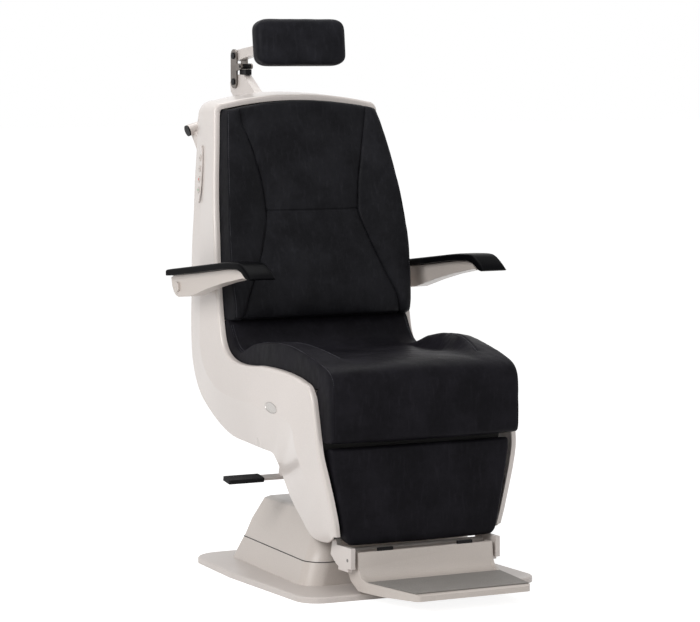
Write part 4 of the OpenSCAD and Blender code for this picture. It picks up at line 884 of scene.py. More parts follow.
SEAT_COLS = np.array([
    [0, 0, 0], [0.25, 0, 0], [0.5, 0, 0], [0.7, 0, 0], [0.79, 0.04, 0], [0.84, 0.3, 0], [0.88, 0.68, 0],
    [0.92, 0.92, 0], [0.955, 1, 0.01], [0.98, 0.98, 0.06], [0.993, 0.8, 0.25], [1, 0, 0.7]])

LEG_SHARES = np.array([
    [-0.344, 0.3050, 0.300, 0.905], [-0.365, 0.3115, 0.299, 0.905], [-0.380, 0.3095, 0.295, 0.903],
    [-0.386, 0.300, 0.289, 0.899], [-0.386, 0.267, 0.267, 0.883], [-0.389, 0.233, 0.233, 0.857],
    [-0.391, 0.200, 0.200, 0.827], [-0.393, 0.167, 0.167, 0.797], [-0.394, 0.138, 0.140, 0.770],
    [-0.393, 0.122, 0.128, 0.752], [-0.386, 0.112, 0.122, 0.730], [-0.372, 0.109, 0.120, 0.710],
    [-0.354, 0.110, 0.119, 0.700]])

LEG_COLS = np.array([[0, 0], [0.3, 0], [0.6, 0], [0.82, 0], [0.93, 0.01], [0.97, 0.06], [0.99, 0.25], [1, 0.8]])

ARM_SHARES = np.array([
    [0.497, 0.6435, 0.4965, 0.6318], [0.491, 0.6455, 0.490, 0.6305], [0.304, 0.660, 0.304, 0.6441],
    [0.188, 0.669, 0.188, 0.6535], [0.084, 0.677, 0.084, 0.6616], [0.025, 0.680, 0.025, 0.6642],
    [-0.025, 0.681, -0.018, 0.6660], [-0.052, 0.678, -0.042, 0.6635], [-0.075, 0.671, -0.062, 0.658],
    [-0.100, 0.661, -0.083, 0.650], [-0.116, 0.652, -0.104, 0.6465], [-0.119, 0.6495, -0.114, 0.6475]])

ARM_COLS = np.array([[0, 0], [0.55, 0.015], [0.86, 0.06], [0.965, 0.17], [1, 0.36]])


def whole(half: Array) -> Array:
    """Mirror the half of a shape, whose first point or row lies on the middle plane."""
    return np.concatenate([half[:0:-1] * np.array([-1.0, 1.0, 1.0]), half])


def columns(table: Array, steps: int) -> Array:
    """Finer columns of a cushion, with their shares kept between 0 and 1.

    Args:
        table: The table of the columns.
        steps: New columns for each of its steps.

    Returns:
        The finer table.
    """
    made = finer(table, steps)
    made[:, 1:] = np.clip(made[:, 1:], 0, 1)
    return made


def softened(points: Array, *waves: tuple[float, float, float]) -> Array:
    """Push the points of a grid in and out by slow noises, along the grid's own normals.

    Args:
        points: Rows and columns of points.
        waves: The largest shift in metres, the waves per metre and the offset of each noise.

    Returns:
        The shifted grid.
    """
    for amount, scale, seed in waves:
        normal = np.cross(np.gradient(points, axis=1), np.gradient(points, axis=0))
        normal /= np.maximum(np.linalg.norm(normal, axis=2), TINY)[:, :, None]
        out = points.copy()
        for i in range(1, points.shape[0] - 1):
            for j in range(1, points.shape[1] - 1):
                p = points[i, j]
                wave = noise.noise(Vector((p[0] * scale + seed, p[1] * scale, p[2] * scale)))
                out[i, j] = p + normal[i, j] * wave * amount
        points = out
    return points


@dataclass
class Cushions:
    """Back, seat and leg cushions with their sewn seams."""

    body: ChairBody
    paint: Paintbox
    bolster_h: float = 0.045
    bolster_power: float = 1.5
    crown: float = 0.006
    seam: float = 0.004
    seam_w: float = 0.0026
    seam_pull: float = 0.0026
    pull_top: float = 1.19
    pull_run: float = 0.1
    pull_least: float = 0.25
    panel_crown: float = 0.0105
    panel_power: int = 4
    wing_power: float = 0.6
    bead: float = 0.0006
    bead_w: float = 0.0012
    groove: float = 0.0012
    groove_w: float = 0.0045
    stitch_in: float = 0.0036
    stitch_up: float = 0.0001
    cross_z: float = 0.9252
    cross_depth: float = 0.0022
    cross_w: float = 0.0022
    nose_reach: float = 0.024
    nose_start: float = 0.335
    nose_run: float = 0.015
    ridge_rear: float = 0.955
    ridge_run: float = 0.2
    ridge_length: float = 0.3
    ridge_end: float = 0.02
    ridge_slope: float = 0.165
    ridge_swell: float = 0.1
    ridge_seam: float = 0.026
    fold: float = 0.0022
    fold_in: float = 0.012
    fold_w: float = 0.009
    seat_seam: tuple[float, ...] = (0.966, 1.0, 0.03)
    seat_inner: tuple[float, ...] = (0.948, 1.0, 0.008)
    seat_stitch_up: float = 0.0004
    leg_rear: float = -0.315
    gap: float = 0.0003
    soft: float = 0.001
    board_t: float = 0.01
    back_steps: int = 8
    back_sewn: tuple[int, int] = (22, -10)
    seat_steps: int = 7
    seat_sewn: tuple[int, int] = (7, -6)
    inner_sewn: tuple[int, int] = (7, 28)
    leg_steps: tuple[int, int] = (6, 5)
    panel_steps: tuple[float, ...] = (
        0, 0.1, 0.2, 0.3, 0.4, 0.5, 0.6, 0.7, 0.78, 0.85, 0.91, 0.95, 0.97, 0.982, 0.991, 0.996, 1)
    wing_steps: tuple[float, ...] = (
        0.008, 0.018, 0.03, 0.05, 0.08, 0.14, 0.22, 0.32, 0.42, 0.52, 0.62, 0.72, 0.8, 0.86, 0.89, 0.905, 0.92,
        0.935, 0.95, 0.965, 0.98, 0.992, 1)
    edge_steps: tuple[tuple[float, float], ...] = (
        (0.12, 0.05), (0.3, 0.14), (0.45, 0.3), (0.7, 0.5), (1.0, 0.75))
    back_waves: tuple[tuple[float, ...], ...] = ((0.0011, 16.0, 3.1), (0.0005, 55.0, 8.4))
    seat_waves: tuple[tuple[float, ...], ...] = ((0.0012, 13.0, 5.7), (0.0005, 50.0, 1.4))
    leg_waves: tuple[tuple[float, ...], ...] = ((0.001, 14.0, 9.2), (0.0004, 48.0, 2.2))
    seams: dict[str, list[Array]] = field(default_factory=dict)

    def pull(self, s: Array) -> float:
        """Depth of the curved seams at a row: full by the waist, faint towards the top."""
        share = (self.pull_top - self.body.z(s[0])) / self.pull_run
        return self.seam_pull * float(np.clip(share, self.pull_least, 1.0))

    def arch(self, s: Array, x: Any) -> Any:
        """Rise of a row of the back cushion at a place across."""
        return s[7] * self.body.rise * np.maximum(1 - (x / self.body.x(s[5])) ** 2, 0.0)

    def back_point(self, s: Array, k: float, wing: bool) -> Array:
        """Point of the back cushion's face.

        Args:
            s: A row of the table.
            k: Share of the way across the panel or the wing.
            wing: Whether the point lies on the wing.

        Returns:
            The point.
        """
        b = self.body
        inner, across = b.x(s[3]), b.x(s[5]) - b.x(s[3])
        if wing:
            x = mixed(inner, b.x(s[5]), k)
            full = max(math.sin(math.pi * min(k, 1.0)), 0.0) ** self.wing_power
            y = mixed(b.y(s[2]), b.y(s[1]), k) - self.panel_crown * full
            y -= self.bead * bell((1 - k) * across - self.bead_w, self.bead_w)
            y += self.groove * bell((1 - k) * across - self.stitch_in, self.bead_w)
            y += self.pull(s) * bell(k * across, self.seam_w)
        else:
            x = k * inner
            y = b.y(s[2]) - (self.panel_crown + self.seam) * (1 - k ** self.panel_power)
            y += self.pull(s) * bell((1 - k) * inner, self.seam_w)
            y += self.cross_depth * bell(b.z(s[0]) - self.cross_z, self.cross_w)
        return np.array([x, y, b.z(s[0]) + self.arch(s, x)])

    def back_half(self, s: Array) -> Array:
        """Half row of the back cushion, from the middle round the edge to the rear.

        Args:
            s: A row of the table.

        Returns:
            The points.
        """
        b = self.body
        out = [self.back_point(s, k, False) for k in self.panel_steps]
        out += [self.back_point(s, k, True) for k in self.wing_steps]
        out += [np.array([mixed(b.x(s[5]), b.x(s[6]), across), mixed(b.y(s[1]), b.y(s[4]), back), b.z(s[0])])
                for across, back in self.edge_steps]
        return np.array(out)

    def back(self) -> None:
        """Build the back cushion."""
        b = self.body
        table = finer(BACK_SHARES, self.back_steps)
        front = softened(np.array([whole(self.back_half(s)) for s in table]), *self.back_waves)
        rear = front.copy()
        for i, s in enumerate(table):
            rear[i, :, 1] = b.y(s[4])
            rear[i, :, 2] = b.z(s[8]) + self.arch(s, front[i, :, 0])
        # The back's upholstery is the seat's, painted lighter as painted light.
        made = Piece("back_cushion_cover", Tone.BACK, self.paint).cover(front, rear, "back_cushion")
        line = np.array([self.back_point(s, 1 - self.stitch_in / (b.x(s[5]) - b.x(s[3])), True)
                         - np.array([0, self.stitch_up, 0]) for s in table[slice(*self.back_sewn)]])
        self.seams["back"] = [line * np.array([sign, 1, 1]) for sign in (-1.0, 1.0)]

    def forward(self, s: Array) -> float:
        """Share of the way along the bolster to its front end."""
        return float(np.clip(-s[0] / self.ridge_length, 0, 1))

    def ridge(self, s: Array) -> float:
        """Share of the half width at which a row's bolster is highest: it runs inwards to the front."""
        return self.ridge_rear - self.ridge_run * self.forward(s)

    def ridged(self, s: Array) -> bool:
        """Whether a row lies along the bolster's fold."""
        return -self.ridge_length < s[0] < -self.ridge_end

    def bolster(self, s: Array, c: Sequence[float]) -> float:
        """Height of the bolster at a point, as a share of its full height.

        Args:
            s: A row of the table.
            c: A column of the table.

        Returns:
            The share.
        """
        ridge = self.ridge(s)
        high = s[4] + self.ridge_swell * math.sin(math.pi * self.forward(s))
        if c[0] < ridge:
            slope = max(1 - (ridge - c[0]) / self.ridge_slope, 0.0)
            return high * math.sin(math.pi / 2 * slope) ** self.bolster_power
        rolled = c[1] if c[0] > self.ridge_rear else 1.0
        return mixed(high, s[4], (c[0] - ridge) / max(1 - ridge, TINY)) * rolled

    def seat_half(self) -> float:
        """Half width of the seat cushion."""
        return self.body.width / 2 - self.body.lip_w - self.soft

    def seat_point(self, s: Array, c: Sequence[float]) -> Array:
        """Point of the seat cushion's cover.

        Args:
            s: A row of the table.
            c: A column of the table.

        Returns:
            The point.
        """
        b = self.body
        cover = np.array([b.y(s[0]), b.z(s[1])])
        under = np.array([b.y(s[2]), b.z(s[3])])
        up = unit(cover - under)
        dip = self.groove * bell(c[0] - self.seat_seam[0], self.groove_w)
        if self.ridged(s):
            dip += self.fold * bell(c[0] - self.ridge(s) + self.fold_in, self.fold_w)
        q = mixed(cover, under, c[2]) + self.crown * (1 - c[0] ** 2) * up - dip * up
        return np.array([c[0] * self.seat_half(), q[0], q[1] + self.bolster(s, c) * self.bolster_h])

    def seat(self) -> None:
        """Build the seat cushion."""
        b = self.body
        table, cols = finer(SEAT_SHARES, self.seat_steps), columns(SEAT_COLS, self.seat_steps)
        top = np.array([whole(np.array([self.seat_point(s, c) for c in cols])) for s in table])
        top = softened(top, *self.seat_waves)
        under = top.copy()
        under[:, :, 0] = np.clip(top[:, :, 0], -self.seat_half(), self.seat_half())
        for i, s in enumerate(table):
            reach = self.nose_reach * float(np.clip((-self.nose_start - s[2]) / self.nose_run, 0, 1))
            under[i, :, 1] = b.y(s[2]) + reach
            under[i, :, 2] = b.z(s[3])
        made = Piece("seat_cushion_cover", Tone.UPHOLSTERY, self.paint).cover(top, under, "seat_cushion")
        lines = ([(s, self.seat_seam) for s in table[slice(*self.seat_sewn)]],
                 [(s, self.seat_inner) for s in table[slice(*self.inner_sewn)]],
                 [(s, (self.ridge(s) - self.ridge_seam, 0.0, 0.0)) for s in table if self.ridged(s)])
        up = np.array([0, 0, self.seat_stitch_up])
        self.seams["seat"] = [np.array([self.seat_point(s, c) * np.array([sign, 1, 1]) + up for s, c in line])
                              for sign in (-1.0, 1.0) for line in lines]

    def leg(self) -> None:
        """Build the leg cushion."""
        b = self.body
        rear = b.y(self.leg_rear) - self.board_t - self.gap
        table, cols = finer(LEG_SHARES, self.leg_steps[0]), columns(LEG_COLS, self.leg_steps[1])
        front = np.array([whole(np.array([
            [c[0] * b.x(s[3]), mixed(b.y(s[0]), rear, c[1]) - self.crown * (1 - c[0] ** 2),
             mixed(b.z(s[1]), b.z(s[2]), c[1])] for c in cols])) for s in table])
        front = softened(front, *self.leg_waves)
        back = front.copy()
        back[:, :, 1] = rear
        back[:, :, 2] = b.z(table[:, 2])[:, None]
        made = Piece("leg_cushion_cover", Tone.UPHOLSTERY, self.paint).cover(front, back, "leg_cushion")

    def build(self) -> None:
        """Build the three cushions."""
        self.back()
        self.seat()
        self.leg()


@dataclass
class ArmPads:
    """Black skinned pads of the armrests."""

    body: ChairBody
    paint: Paintbox
    width: float = 0.072
    span: float = 0.668
    low_share: float = 6
    corner: float = 50
    steps: tuple[int, int] = (6, 4)

    def half_row(self, s: Array, low: bool) -> Array:
        """Half a row of the pad's top or underside.

        Args:
            s: A row of the table.
            low: Whether it is the underside.

        Returns:
            The points.
        """
        b = self.body
        first, last = (s[2:], s[:2]) if low else (s[:2], s[2:])
        out = []
        for c in finer(ARM_COLS, self.steps[1]):
            y, z = mixed(first, last, c[1] / self.low_share if low else c[1])
            out.append([c[0] * self.width / 2, b.y(y), b.z(z)])
        return np.array(out)

    def build(self) -> None:
        """Build both pads."""
        table = finer(ARM_SHARES, self.steps[0])
        top, low = (np.array([whole(self.half_row(s, under)) for s in table]) for under in (False, True))
        for side, sign in (("left", -1.0), ("right", 1.0)):
            shift = np.array([sign * self.span / 2, 0, 0])
            piece = Piece(f"armrest_pad_{side}_skin", Tone.ARM_PAD, self.paint, f"armrest_{side}")
            made = piece.cover(top + shift, low + shift, f"armrest_pad_{side}", "arm_pad", self.corner)


@dataclass
class HeadPad:
    """Boxed pad of the headrest."""

    body: ChairBody
    paint: Paintbox
    width: float = 0.262
    height: float = 0.124
    thick: float = 0.062
    lean: float = -7.0
    y_share: float = 0.450
    z_share: float = 1.1367
    cols: int = 61
    rows: int = 37
    side_in: tuple[float, int] = (0.09, 8)
    top_in: tuple[float, int] = (0.16, 16)
    powers: tuple[float, ...] = (10, 6, 0.35)
    rear_least: float = 0.1
    wave: tuple[float, ...] = (0.0008, 22.0, 4.4)

    def placed(self, points: Array) -> Array:
        """Lean the pad and put it in its place.

        Args:
            points: Points of the pad about its own middle.

        Returns:
            The placed points.
        """
        b = self.body
        y, z = swung(points[..., 1], points[..., 2], self.lean)
        return np.stack([points[..., 0], y + b.y(self.y_share), z + b.z(self.z_share)], axis=-1)

    def puff(self, a: float, b: float) -> float:
        """How full the pad is at a point of the square from -1 to 1."""
        side, top, edge = self.powers
        return max(1 - abs(a) ** side, 0.0) ** edge * max(1 - abs(b) ** top, 0.0) ** edge

    def build(self) -> None:
        """Build the pad."""
        front, rear = np.zeros((2, self.rows, self.cols, 3))
        for i, b in enumerate(np.sin(np.linspace(1, -1, self.rows) * math.pi / 2)):
            for j, a in enumerate(np.sin(np.linspace(-1, 1, self.cols) * math.pi / 2)):
                x = a * self.width / 2 * (1 - self.side_in[0] * b ** self.side_in[1])
                z = b * self.height / 2 * (1 - self.top_in[0] * a ** self.top_in[1])
                full = self.puff(a, b)
                front[i, j] = (x, -self.thick / 2 * full, z)
                rear[i, j] = (x, self.thick / 2 * max(full, self.rear_least), z)
        # The pad's upholstery is painted lighter than the seat's, as painted light.
        piece = Piece("headrest_pad_cover", Tone.HEAD_UPHOLSTERY_PAINTED_LIGHTER, self.paint, "headrest_head")
        made = piece.cover(self.placed(softened(front, self.wave)), self.placed(rear), "headrest_pad")


class GeometryBoard(Nodes):
    """A geometry node tree that grows small parts on a mesh."""

    def __init__(self, name: str) -> None:
        """Make a tree with geometry going in and out.

        Args:
            name: The tree's name.
        """
        super().__init__(bpy.data.node_groups.new(name, "GeometryNodeTree"))
        for way in ("INPUT", "OUTPUT"):
            self.tree.interface.new_socket(name="Geometry", in_out=way, socket_type="NodeSocketGeometry")
        self.values: dict[str, Any] = {}
        self.entry = self.node("NodeGroupInput")
        self.exit = self.node("NodeGroupOutput")

    def size(self, name: str, value: float | bpy.types.Material) -> Socket:
        """Add a named input.

        Args:
            name: Its name.
            value: Its value.

        Returns:
            The input's socket inside the tree.
        """
        kind = "NodeSocketFloat" if isinstance(value, float) else "NodeSocketMaterial"
        made = self.tree.interface.new_socket(name=name, in_out="INPUT", socket_type=kind)
        made.default_value = value
        self.values[made.identifier] = value
        return self.entry.outputs[name]

    def copies(self, points: Socket, copied: Socket, facing: Socket, material: Socket,
               **more: Socket) -> None:
        """Set copies on points, realize and paint them, and give them out.

        Args:
            points: The points.
            copied: What is copied.
            facing: The direction that the Z axis of each copy takes.
            material: The copies' material.
            more: Other inputs of the copying node.
        """
        turn = self.node("FunctionNodeAlignRotationToVector", {"Vector": facing}, axis="Z")
        made = self.node("GeometryNodeInstanceOnPoints", {"Points": points, "Instance": copied,
                                                          "Rotation": turn.outputs[0], **more})
        real = self.node("GeometryNodeRealizeInstances", {0: made.outputs[0]})
        painted = self.node("GeometryNodeSetMaterial", {"Geometry": real.outputs[0], "Material": material})
        self.feed(self.exit.inputs[0], painted.outputs[0])

    def grow(self, name: str, data: bpy.types.Mesh, slot: str, body: str = "chair") -> None:
        """Run the tree on a mesh and keep the plain result.

        Args:
            name: The piece's name.
            data: The mesh that the tree starts from.
            slot: The record's material slot; not used.
            body: The body the piece rides on.
        """
        source = put(name + "_source", data)
        modifier = source.modifiers.new("grow", "NODES")
        modifier.node_group = self.tree
        for key, value in self.values.items():
            modifier[key] = value
        bpy.context.view_layer.update()
        graph = bpy.context.evaluated_depsgraph_get()
        result = bpy.data.meshes.new_from_object(source.evaluated_get(graph))
        result.name = name
        bpy.data.objects.remove(source)
        made = put(name, result)
        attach(made, body)
        log.info("%s: %d faces", name, len(result.polygons))


@dataclass
class Sewing:
    """Stitches that a geometry tree lays along the seams."""

    paint: Paintbox
    pitch: float = 0.0052
    length: float = 0.0036
    radius: float = 0.0006

    def sew(self, name: str, lines: list[Array]) -> None:
        """Sew a row of short capsules along each line.

        Args:
            name: The piece's name.
            lines: The seams.
        """
        board = GeometryBoard("stitch_row")
        pitch, length = board.size("Pitch", self.pitch), board.size("Length", self.length)
        radius = board.size("Radius", self.radius)
        material = board.size("Thread", self.paint.get(Tone.THREAD))
        curve = board.node("GeometryNodeMeshToCurve", {0: board.entry.outputs[0]})
        spaced = board.node("GeometryNodeResampleCurve", {"Curve": curve.outputs[0], "Length": pitch},
                            mode="LENGTH")
        stitch = board.node("GeometryNodeMeshUVSphere", {"Segments": 6, "Rings": 4, "Radius": 1.0})
        half = board.node("ShaderNodeMath", {0: length, 1: 0.5}, operation="MULTIPLY")
        scale = board.node("ShaderNodeCombineXYZ", {0: radius, 1: radius, 2: half.outputs[0]})
        sized = board.node("GeometryNodeTransform", {"Geometry": stitch.outputs[0],
                                                     "Scale": scale.outputs[0]})
        along = board.node("GeometryNodeInputTangent")
        board.copies(spaced.outputs[0], sized.outputs[0], along.outputs[0], material)
        points: list[Any] = []
        edges: list[tuple[int, int]] = []
        for line in lines:
            edges += [(len(points) + i, len(points) + i + 1) for i in range(len(line) - 1)]
            points += [tuple(p) for p in line]
        data = bpy.data.meshes.new(name)
        data.from_pydata(points, edges, [])
        board.grow(name, data, "upholstery")


@dataclass
class Screws:
    """Socket-head screws that a geometry tree sets at points of the headrest's foot."""

    paint: Paintbox
    head_r: float = 0.0045
    head_h: float = 0.0025
    socket_r: float = 0.0022
    sunk: float = 0.0005
    sides: int = 18
    scale: float = 1.1
    across: tuple[float, float] = (-0.032, 0.032)
    rear: float = 0.5123
    heights: tuple[float, float] = (1.06, 1.135)

    def template(self) -> bpy.types.Object:
        """Build one screw head that stands up along Z."""
        profile = ((self.head_r, -self.sunk), (self.head_r, self.head_h * 0.75),
                   (self.head_r * 0.86, self.head_h), (self.socket_r, self.head_h),
                   (self.socket_r * 0.98, self.head_h * 0.25))
        rings = [[(x, y, z) for x, y in ellipse(r, r, self.sides)] for r, z in profile]
        mesh = Piece("screw_head", Tone.ZINC, self.paint).grid(np.array(rings), closed=True).mesh
        corners = list(mesh.verts)
        mesh.faces.new(corners[-self.sides:])
        mesh.faces.new(corners[self.sides - 1::-1])
        data = bpy.data.meshes.new("screw_head")
        mesh.to_mesh(data)
        mesh.free()
        return put("screw_head", data)

    def build(self) -> None:
        """Set the screws, each facing the rear."""
        places = [(x, self.rear, z) for x in self.across for z in self.heights]
        data = bpy.data.meshes.new("headrest_foot_screws")
        data.from_pydata(places, [], [])
        head = self.template()
        board = GeometryBoard("screw_set")
        scale = board.size("Scale", self.scale)
        material = board.size("Finish", self.paint.get(Tone.ZINC))
        info = board.node("GeometryNodeObjectInfo", {"Object": head})
        facing = board.node("FunctionNodeInputVector", vector=(0, 1, 0))
        board.copies(board.entry.outputs[0], info.outputs["Geometry"], facing.outputs[0], material,
                     Scale=scale)
        board.grow("headrest_foot_screws", data, "steel")
        bpy.data.objects.remove(head)


@dataclass
class ControlMarks:
    """Plain marks on the four buttons of the control panel."""

    body: ChairBody
    paint: Paintbox
    y_share: float = 0.543
    z_share: float = 0.849
    x_share: float = 0.892
    turn: float = -8.0
    lean: float = 3.6
    pitch: float = 0.028
    out: float = 0.0046
    mark_r: float = 0.003
    profile: tuple[tuple[float, float], ...] = ((1 / 30, 0.0003), (0.8, 0.0003), (1, 0.0001), (1, -0.0002),
                                                (1 / 30, -0.0002))
    marks: tuple[tuple[Any, ...], ...] = (
        ("back_up", 1.5, Tone.GREY_MARK, 3, 90), ("back_down", 0.5, Tone.GREY_MARK, 3, -90),
        ("lift_up", -0.5, Tone.RED, 20, 0), ("lift_down", -1.5, Tone.GREEN, 20, 0))

    def placed(self, point: Sequence[float]) -> Array:
        """Put a point of the panel's own frame in its place.

        Args:
            point: The point, in metres.

        Returns:
            The placed point.
        """
        b = self.body
        x, z = swung(point[0], point[2], -self.lean)
        x, y = swung(x, point[1], self.turn)
        return np.array([x - b.x(self.x_share), y + b.y(self.y_share), z + b.z(self.z_share)])

    def build(self) -> None:
        """Build the marks from their places in pitches, finishes, sides and first corners' angles."""
        for name, place, tone, sides, start in self.marks:
            rings = [[self.placed((-self.out - out, y, place * self.pitch + z))
                      for y, z in ellipse(share * self.mark_r, share * self.mark_r, sides, start)]
                     for share, out in self.profile]
            piece = Piece(f"mark_{name}", tone, self.paint, f"button_{name}")
            piece.grid(np.array(rings), closed=True).done("cover")


@dataclass
class Badges:
    """Bare oval plates with a raised rim on both sides of the seat."""

    body: ChairBody
    paint: Paintbox
    y_share: float = -0.049
    z_share: float = 0.375
    length: float = 0.066
    height: float = 0.027
    tilt: float = 5.0
    sides: int = 48
    profile: tuple[tuple[float, float], ...] = (
        (0.001, 0.0006), (0.5, 0.0007), (0.78, 0.0006), (0.83, 0.0008), (0.87, 0.0020), (0.93, 0.0022),
        (0.98, 0.0015), (1.0, 0.0004), (1.0, 0.0001), (0.001, 0.0001))

    def build(self) -> None:
        """Build both plates as one piece."""
        b = self.body
        piece = Piece("side_badges", Tone.BADGE, self.paint)
        for sign in (-1.0, 1.0):
            rings = []
            for share, out in self.profile:
                flat = ellipse(share * self.length / 2, share * self.height / 2, self.sides)
                rings.append([(sign * (b.width / 2 + out), b.y(self.y_share) + y, b.z(self.z_share) + z)
                              for y, z in (swung(u, v, self.tilt) for u, v in flat)])
            piece.grid(np.array(rings), closed=True)
        piece.done("badge", "badges")


@dataclass
class CoverSeam:
    """Dark band in the seam between the upper and the lower base cover: painted shade that stands in for the
    shadow in that seam.
    """

    paint: Paintbox
    half: float = 0.93 * 0.262
    front: float = 0.98 * 0.190
    rear_half: float = 0.86 * 0.91 * 0.262
    rear: float = 0.925 * 0.316
    front_r: float = 0.054
    rear_r: float = 0.016
    z: float = 0.0726
    proud: float = 0.0004
    depth: float = 0.003
    height: float = 0.0017
    corner_steps: int = 16

    def outline(self, out: float) -> list[tuple[float, float]]:
        """Plan of the seam, moved outwards by a length.

        Args:
            out: The length in metres.

        Returns:
            The points.
        """
        corners = ((self.half - self.front_r, self.front_r - self.front, self.front_r, -90.0),
                   (self.rear_half - self.rear_r, self.rear - self.rear_r, self.rear_r, 0.0),
                   (self.rear_r - self.rear_half, self.rear - self.rear_r, self.rear_r, 90.0),
                   (self.front_r - self.half, self.front_r - self.front, self.front_r, 180.0))
        points = []
        for x, y, r, start in corners:
            for k in range(self.corner_steps + 1):
                a = math.radians(start + 90.0 * k / self.corner_steps)
                points.append((x + (r + out) * math.cos(a), y + (r + out) * math.sin(a)))
        return points

    def build(self) -> None:
        """Build the dark band of painted shade as a closed band."""
        half = self.height / 2
        rings = ((-self.depth, -half), (self.proud, -half), (self.proud, half), (-self.depth, half),
                 (-self.depth, -half))
        grid = np.array([[(x, y, self.z + up) for x, y in self.outline(out)] for out, up in rings])
        # Painted shade: a black band standing in for the shadow in the seam.
        Piece("cover_seam_gasket", Tone.BLACK, self.paint, "base").grid(grid, closed=True).done(slot="cover")


@dataclass
class CadDress:
    """Finishes of the CAD nodes that stay in view, with angles in degrees."""

    nodes: dict[str, bpy.types.Object]
    paint: Paintbox
    flat: float = 0.4
    rounded_from: float = 38
    split_from: float = 32
    even_weight: int = 50

    TONES = {
        Tone.PLATE: "base_plate",
        Tone.COVER: "base_skirt base_cover back_up_button back_down_button lift_up_button lift_down_button"
                    " arm_pivots armrest_bracket_left armrest_bracket_right",
        Tone.BLACK: "column_seal mains_inlet mast_bush lift_motor sleeve_bush swivel_cap tilt_actuator"
                    " handle_plugs footrest_bumpers headrest_pins headrest_clamp",
        Tone.STEEL: "mast lift_screw swivel_bearing tilt_rod tilt_shaft",
        Tone.METALWORK: "lift_sleeve swivel_cradle brake_lever seat_frame push_handle footrest_brackets"
                        " leg_cross_tube headrest_base headrest_arm",
        Tone.ZINC: "brake_pin actuator_pin tilt_crank crank_pin shell_mounts footrest_pins headrest_mount",
        Tone.GRIP: "brake_grip",
        # The cushion boards take a near-black colour that stands in for the shade in the gaps between the
        # cushions.
        Tone.BOARD_PAINTED_SHADE: "cushion_boards",
        Tone.SHELL: "leg_cover control_panel",
        Tone.CASTING: "footrest",
        Tone.TREAD: "footrest_tread",
        Tone.LINK: "headrest_links"}
    ROUNDED = {
        0.0004: "footrest_tread",
        0.0006: "push_handle headrest_mount",
        0.0008: "base_skirt headrest_links brake_lever swivel_cradle leg_cover",
        0.0009: "control_panel back_up_button back_down_button lift_up_button lift_down_button",
        0.0012: "footrest_brackets",
        0.0014: "headrest_base",
        0.0015: "brake_grip",
        0.0016: "base_plate",
        0.0018: "headrest_arm",
        0.002: "base_cover",
        0.0022: "armrest_bracket_left armrest_bracket_right",
        0.0025: "footrest"}

    def build(self) -> None:
        """Give every shown node its finish, smooth faces and rounded edges."""
        widths = {name: width for width, names in self.ROUNDED.items() for name in names.split()}
        tones = {name: tone for tone, names in self.TONES.items() for name in names.split()}
        for name, node in self.nodes.items():
            if name in tones:
                node.data.materials.clear()
                node.data.materials.append(self.paint.get(tones[name]))
                self.soften(node, widths.get(name))
        log.info("dressed %d nodes", len(tones))

    def soften(self, node: bpy.types.Object, width: float | None) -> None:
        """Weld a node's loose triangles on the fly, round its edges and smooth its curved faces.

        Args:
            node: The node's object.
            width: Width of its rounded edges, if it has any.
        """
        with bpy.context.temp_override(object=node, active_object=node, selected_objects=[node]):
            if node.data.has_custom_normals:
                bpy.ops.mesh.customdata_custom_splitnormals_clear()
        node.data.shade_smooth()
        steps: list[tuple[str, str, dict[str, Any]]] = [
            ("weld", "WELD", {"merge_threshold": MERGE}),
            ("flat_faces", "DECIMATE", {"decimate_type": "DISSOLVE", "angle_limit": math.radians(self.flat)}),
            ("creases", "EDGE_SPLIT", {"split_angle": math.radians(self.split_from),
                                       "use_edge_sharp": False}),
            ("even_faces", "WEIGHTED_NORMAL", {"weight": self.even_weight, "keep_sharp": False})]
        if width:
            steps.insert(2, ("rounding", "BEVEL", {
                "width": width, "segments": 2, "limit_method": "ANGLE", "use_clamp_overlap": True,
                "angle_limit": math.radians(self.rounded_from)}))
        for name, kind, settings in steps:
            made = node.modifiers.new(name, kind)
            for key, value in settings.items():
                setattr(made, key, value)


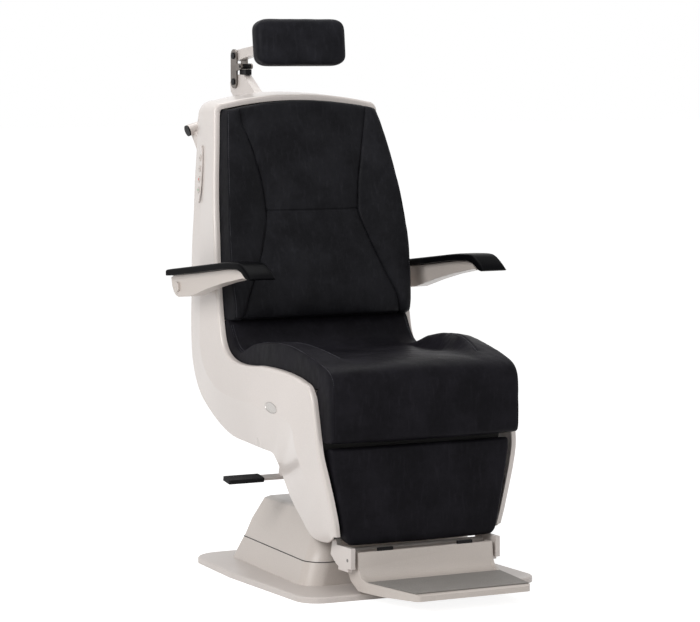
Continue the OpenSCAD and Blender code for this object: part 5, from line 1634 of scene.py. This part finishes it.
@dataclass
class Studio:
    """Floor, light and camera."""

    camera_at: tuple[float, float, float] = (-3.6237, -6.7411, 1.3518)
    azimuth: float = 28.005
    pitch: float = 5.0235
    lens: float = 154.286
    sensor: float = 36.0
    reach: float = 100.0
    floor_half: float = 40
    floor_colour: Colour = (0.82, 0.82, 0.82, 1)
    floor_glow: float = 1.75
    floor_share: float = 0.5
    sky_colour: Colour = (1, 0.985, 0.97, 1)
    sky_light: float = 0.4
    lamps: tuple[tuple[Any, ...], ...] = (
        ("key", (-3.4, -1.3, 2.5), (0, 0, 0.75), 2.3, 90), ("fill", (0.6, -4.8, 2.0), (0, 0, 0.7), 2.6, 26),
        ("top", (0.2, 0.8, 3.6), (0, 0.1, 0.8), 2.0, 40))

    def fill(self, tree: bpy.types.NodeTree, end: str, lit: tuple[Any, ...], seen: tuple[Any, ...],
             share: float) -> None:
        """Fill a tree with a shader that lights the object and one that is seen directly.

        Args:
            tree: The node tree.
            end: Type of its output node.
            lit: Type and inputs of the shader that lights.
            seen: Type and inputs of the one for the camera's, mirrored and refracted rays.
            share: How much such rays take of it.
        """
        nodes = Nodes(tree)
        path = nodes.node("ShaderNodeLightPath")
        direct = path.outputs["Is Camera Ray"]
        for name in ("Is Glossy Ray", "Is Transmission Ray"):
            both = {0: direct, 1: path.outputs[name]}
            direct = nodes.node("ShaderNodeMath", both, operation="MAXIMUM").outputs[0]
        direct = nodes.node("ShaderNodeMath", {0: direct, 1: share}, operation="MULTIPLY").outputs[0]
        mix = nodes.node("ShaderNodeMixShader", {0: direct, 1: nodes.node(*lit).outputs[0],
                                                 2: nodes.node(*seen).outputs[0]})
        nodes.node(end, {0: mix.outputs[0]})

    def floor(self) -> None:
        """Lay a wide pale floor that keeps the object's shadow."""
        data = bpy.data.meshes.new("studio_floor")
        half = self.floor_half
        data.from_pydata([(-half, -half, 0), (half, -half, 0), (half, half, 0), (-half, half, 0)], [],
                         [(0, 1, 2, 3)])
        material = bpy.data.materials.new("studio_floor")
        material.use_nodes = True
        self.fill(material.node_tree, "ShaderNodeOutputMaterial",
                  ("ShaderNodeBsdfDiffuse", {0: self.floor_colour}),
                  ("ShaderNodeEmission", {0: WHITE, 1: self.floor_glow}), self.floor_share)
        data.materials.append(material)
        made = put("studio_floor", data)

    def world(self) -> None:
        """Make a white surround that lights the object softly."""
        world = bpy.data.worlds.new("studio")
        bpy.context.scene.world = world
        world.use_nodes = True
        self.fill(world.node_tree, "ShaderNodeOutputWorld",
                  ("ShaderNodeBackground", {0: self.sky_colour, 1: self.sky_light}),
                  ("ShaderNodeBackground", {0: WHITE, 1: 1.0}), 1.0)

    def aimed(self, name: str, data: bpy.types.ID, at: Sequence[float], ahead: Vector) -> bpy.types.Object:
        """Put a lamp or a camera at a place, looking ahead.

        Args:
            name: The object's name.
            data: Its lamp or camera.
            at: The place.
            ahead: The direction in which it looks.

        Returns:
            The object.
        """
        made = put(name, data)
        made.location = at
        made.rotation_mode = "QUATERNION"
        made.rotation_quaternion = ahead.to_track_quat("-Z", "Y")
        return made

    def camera(self) -> None:
        """Set the camera at the photograph's view."""
        data = bpy.data.cameras.new("view")
        data.lens = self.lens
        data.sensor_width = self.sensor
        data.clip_end = self.reach
        a, p = math.radians(self.azimuth), math.radians(self.pitch)
        ahead = Vector((math.sin(a) * math.cos(p), math.cos(a) * math.cos(p), -math.sin(p)))
        bpy.context.scene.camera = self.aimed("view", data, self.camera_at, ahead)

    def build(self) -> None:
        """Set up the studio with its soft lamps."""
        bpy.context.scene.view_settings.view_transform = "Standard"
        self.camera()
        self.floor()
        self.world()
        for name, at, to, size, power in self.lamps:
            data = bpy.data.lights.new(name, "AREA")
            data.shape = "RECTANGLE"
            data.size = data.size_y = size
            data.energy = power
            self.aimed(name, data, at, Vector(to) - Vector(at))


def main(frame: dict[str, Any]) -> None:
    """Build every piece in order.

    Args:
        frame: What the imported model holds.
    """
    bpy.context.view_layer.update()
    paint = Paintbox()
    body = ChairBody()
    Studio().build()
    CadDress(frame["nodes"], paint).build()
    Shells(body, paint).build()
    cushions = Cushions(body, paint)
    cushions.build()
    ArmPads(body, paint).build()
    HeadPad(body, paint).build()
    for name, lines in cushions.seams.items():
        Sewing(paint).sew(f"{name}_stitches", lines)
    Badges(body, paint).build()
    CoverSeam(paint).build()
    ControlMarks(body, paint).build()
    Screws(paint).build()


if __name__ == "__main__":
    logging.basicConfig(level=logging.INFO, format="%(name)s %(message)s")
    main(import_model())
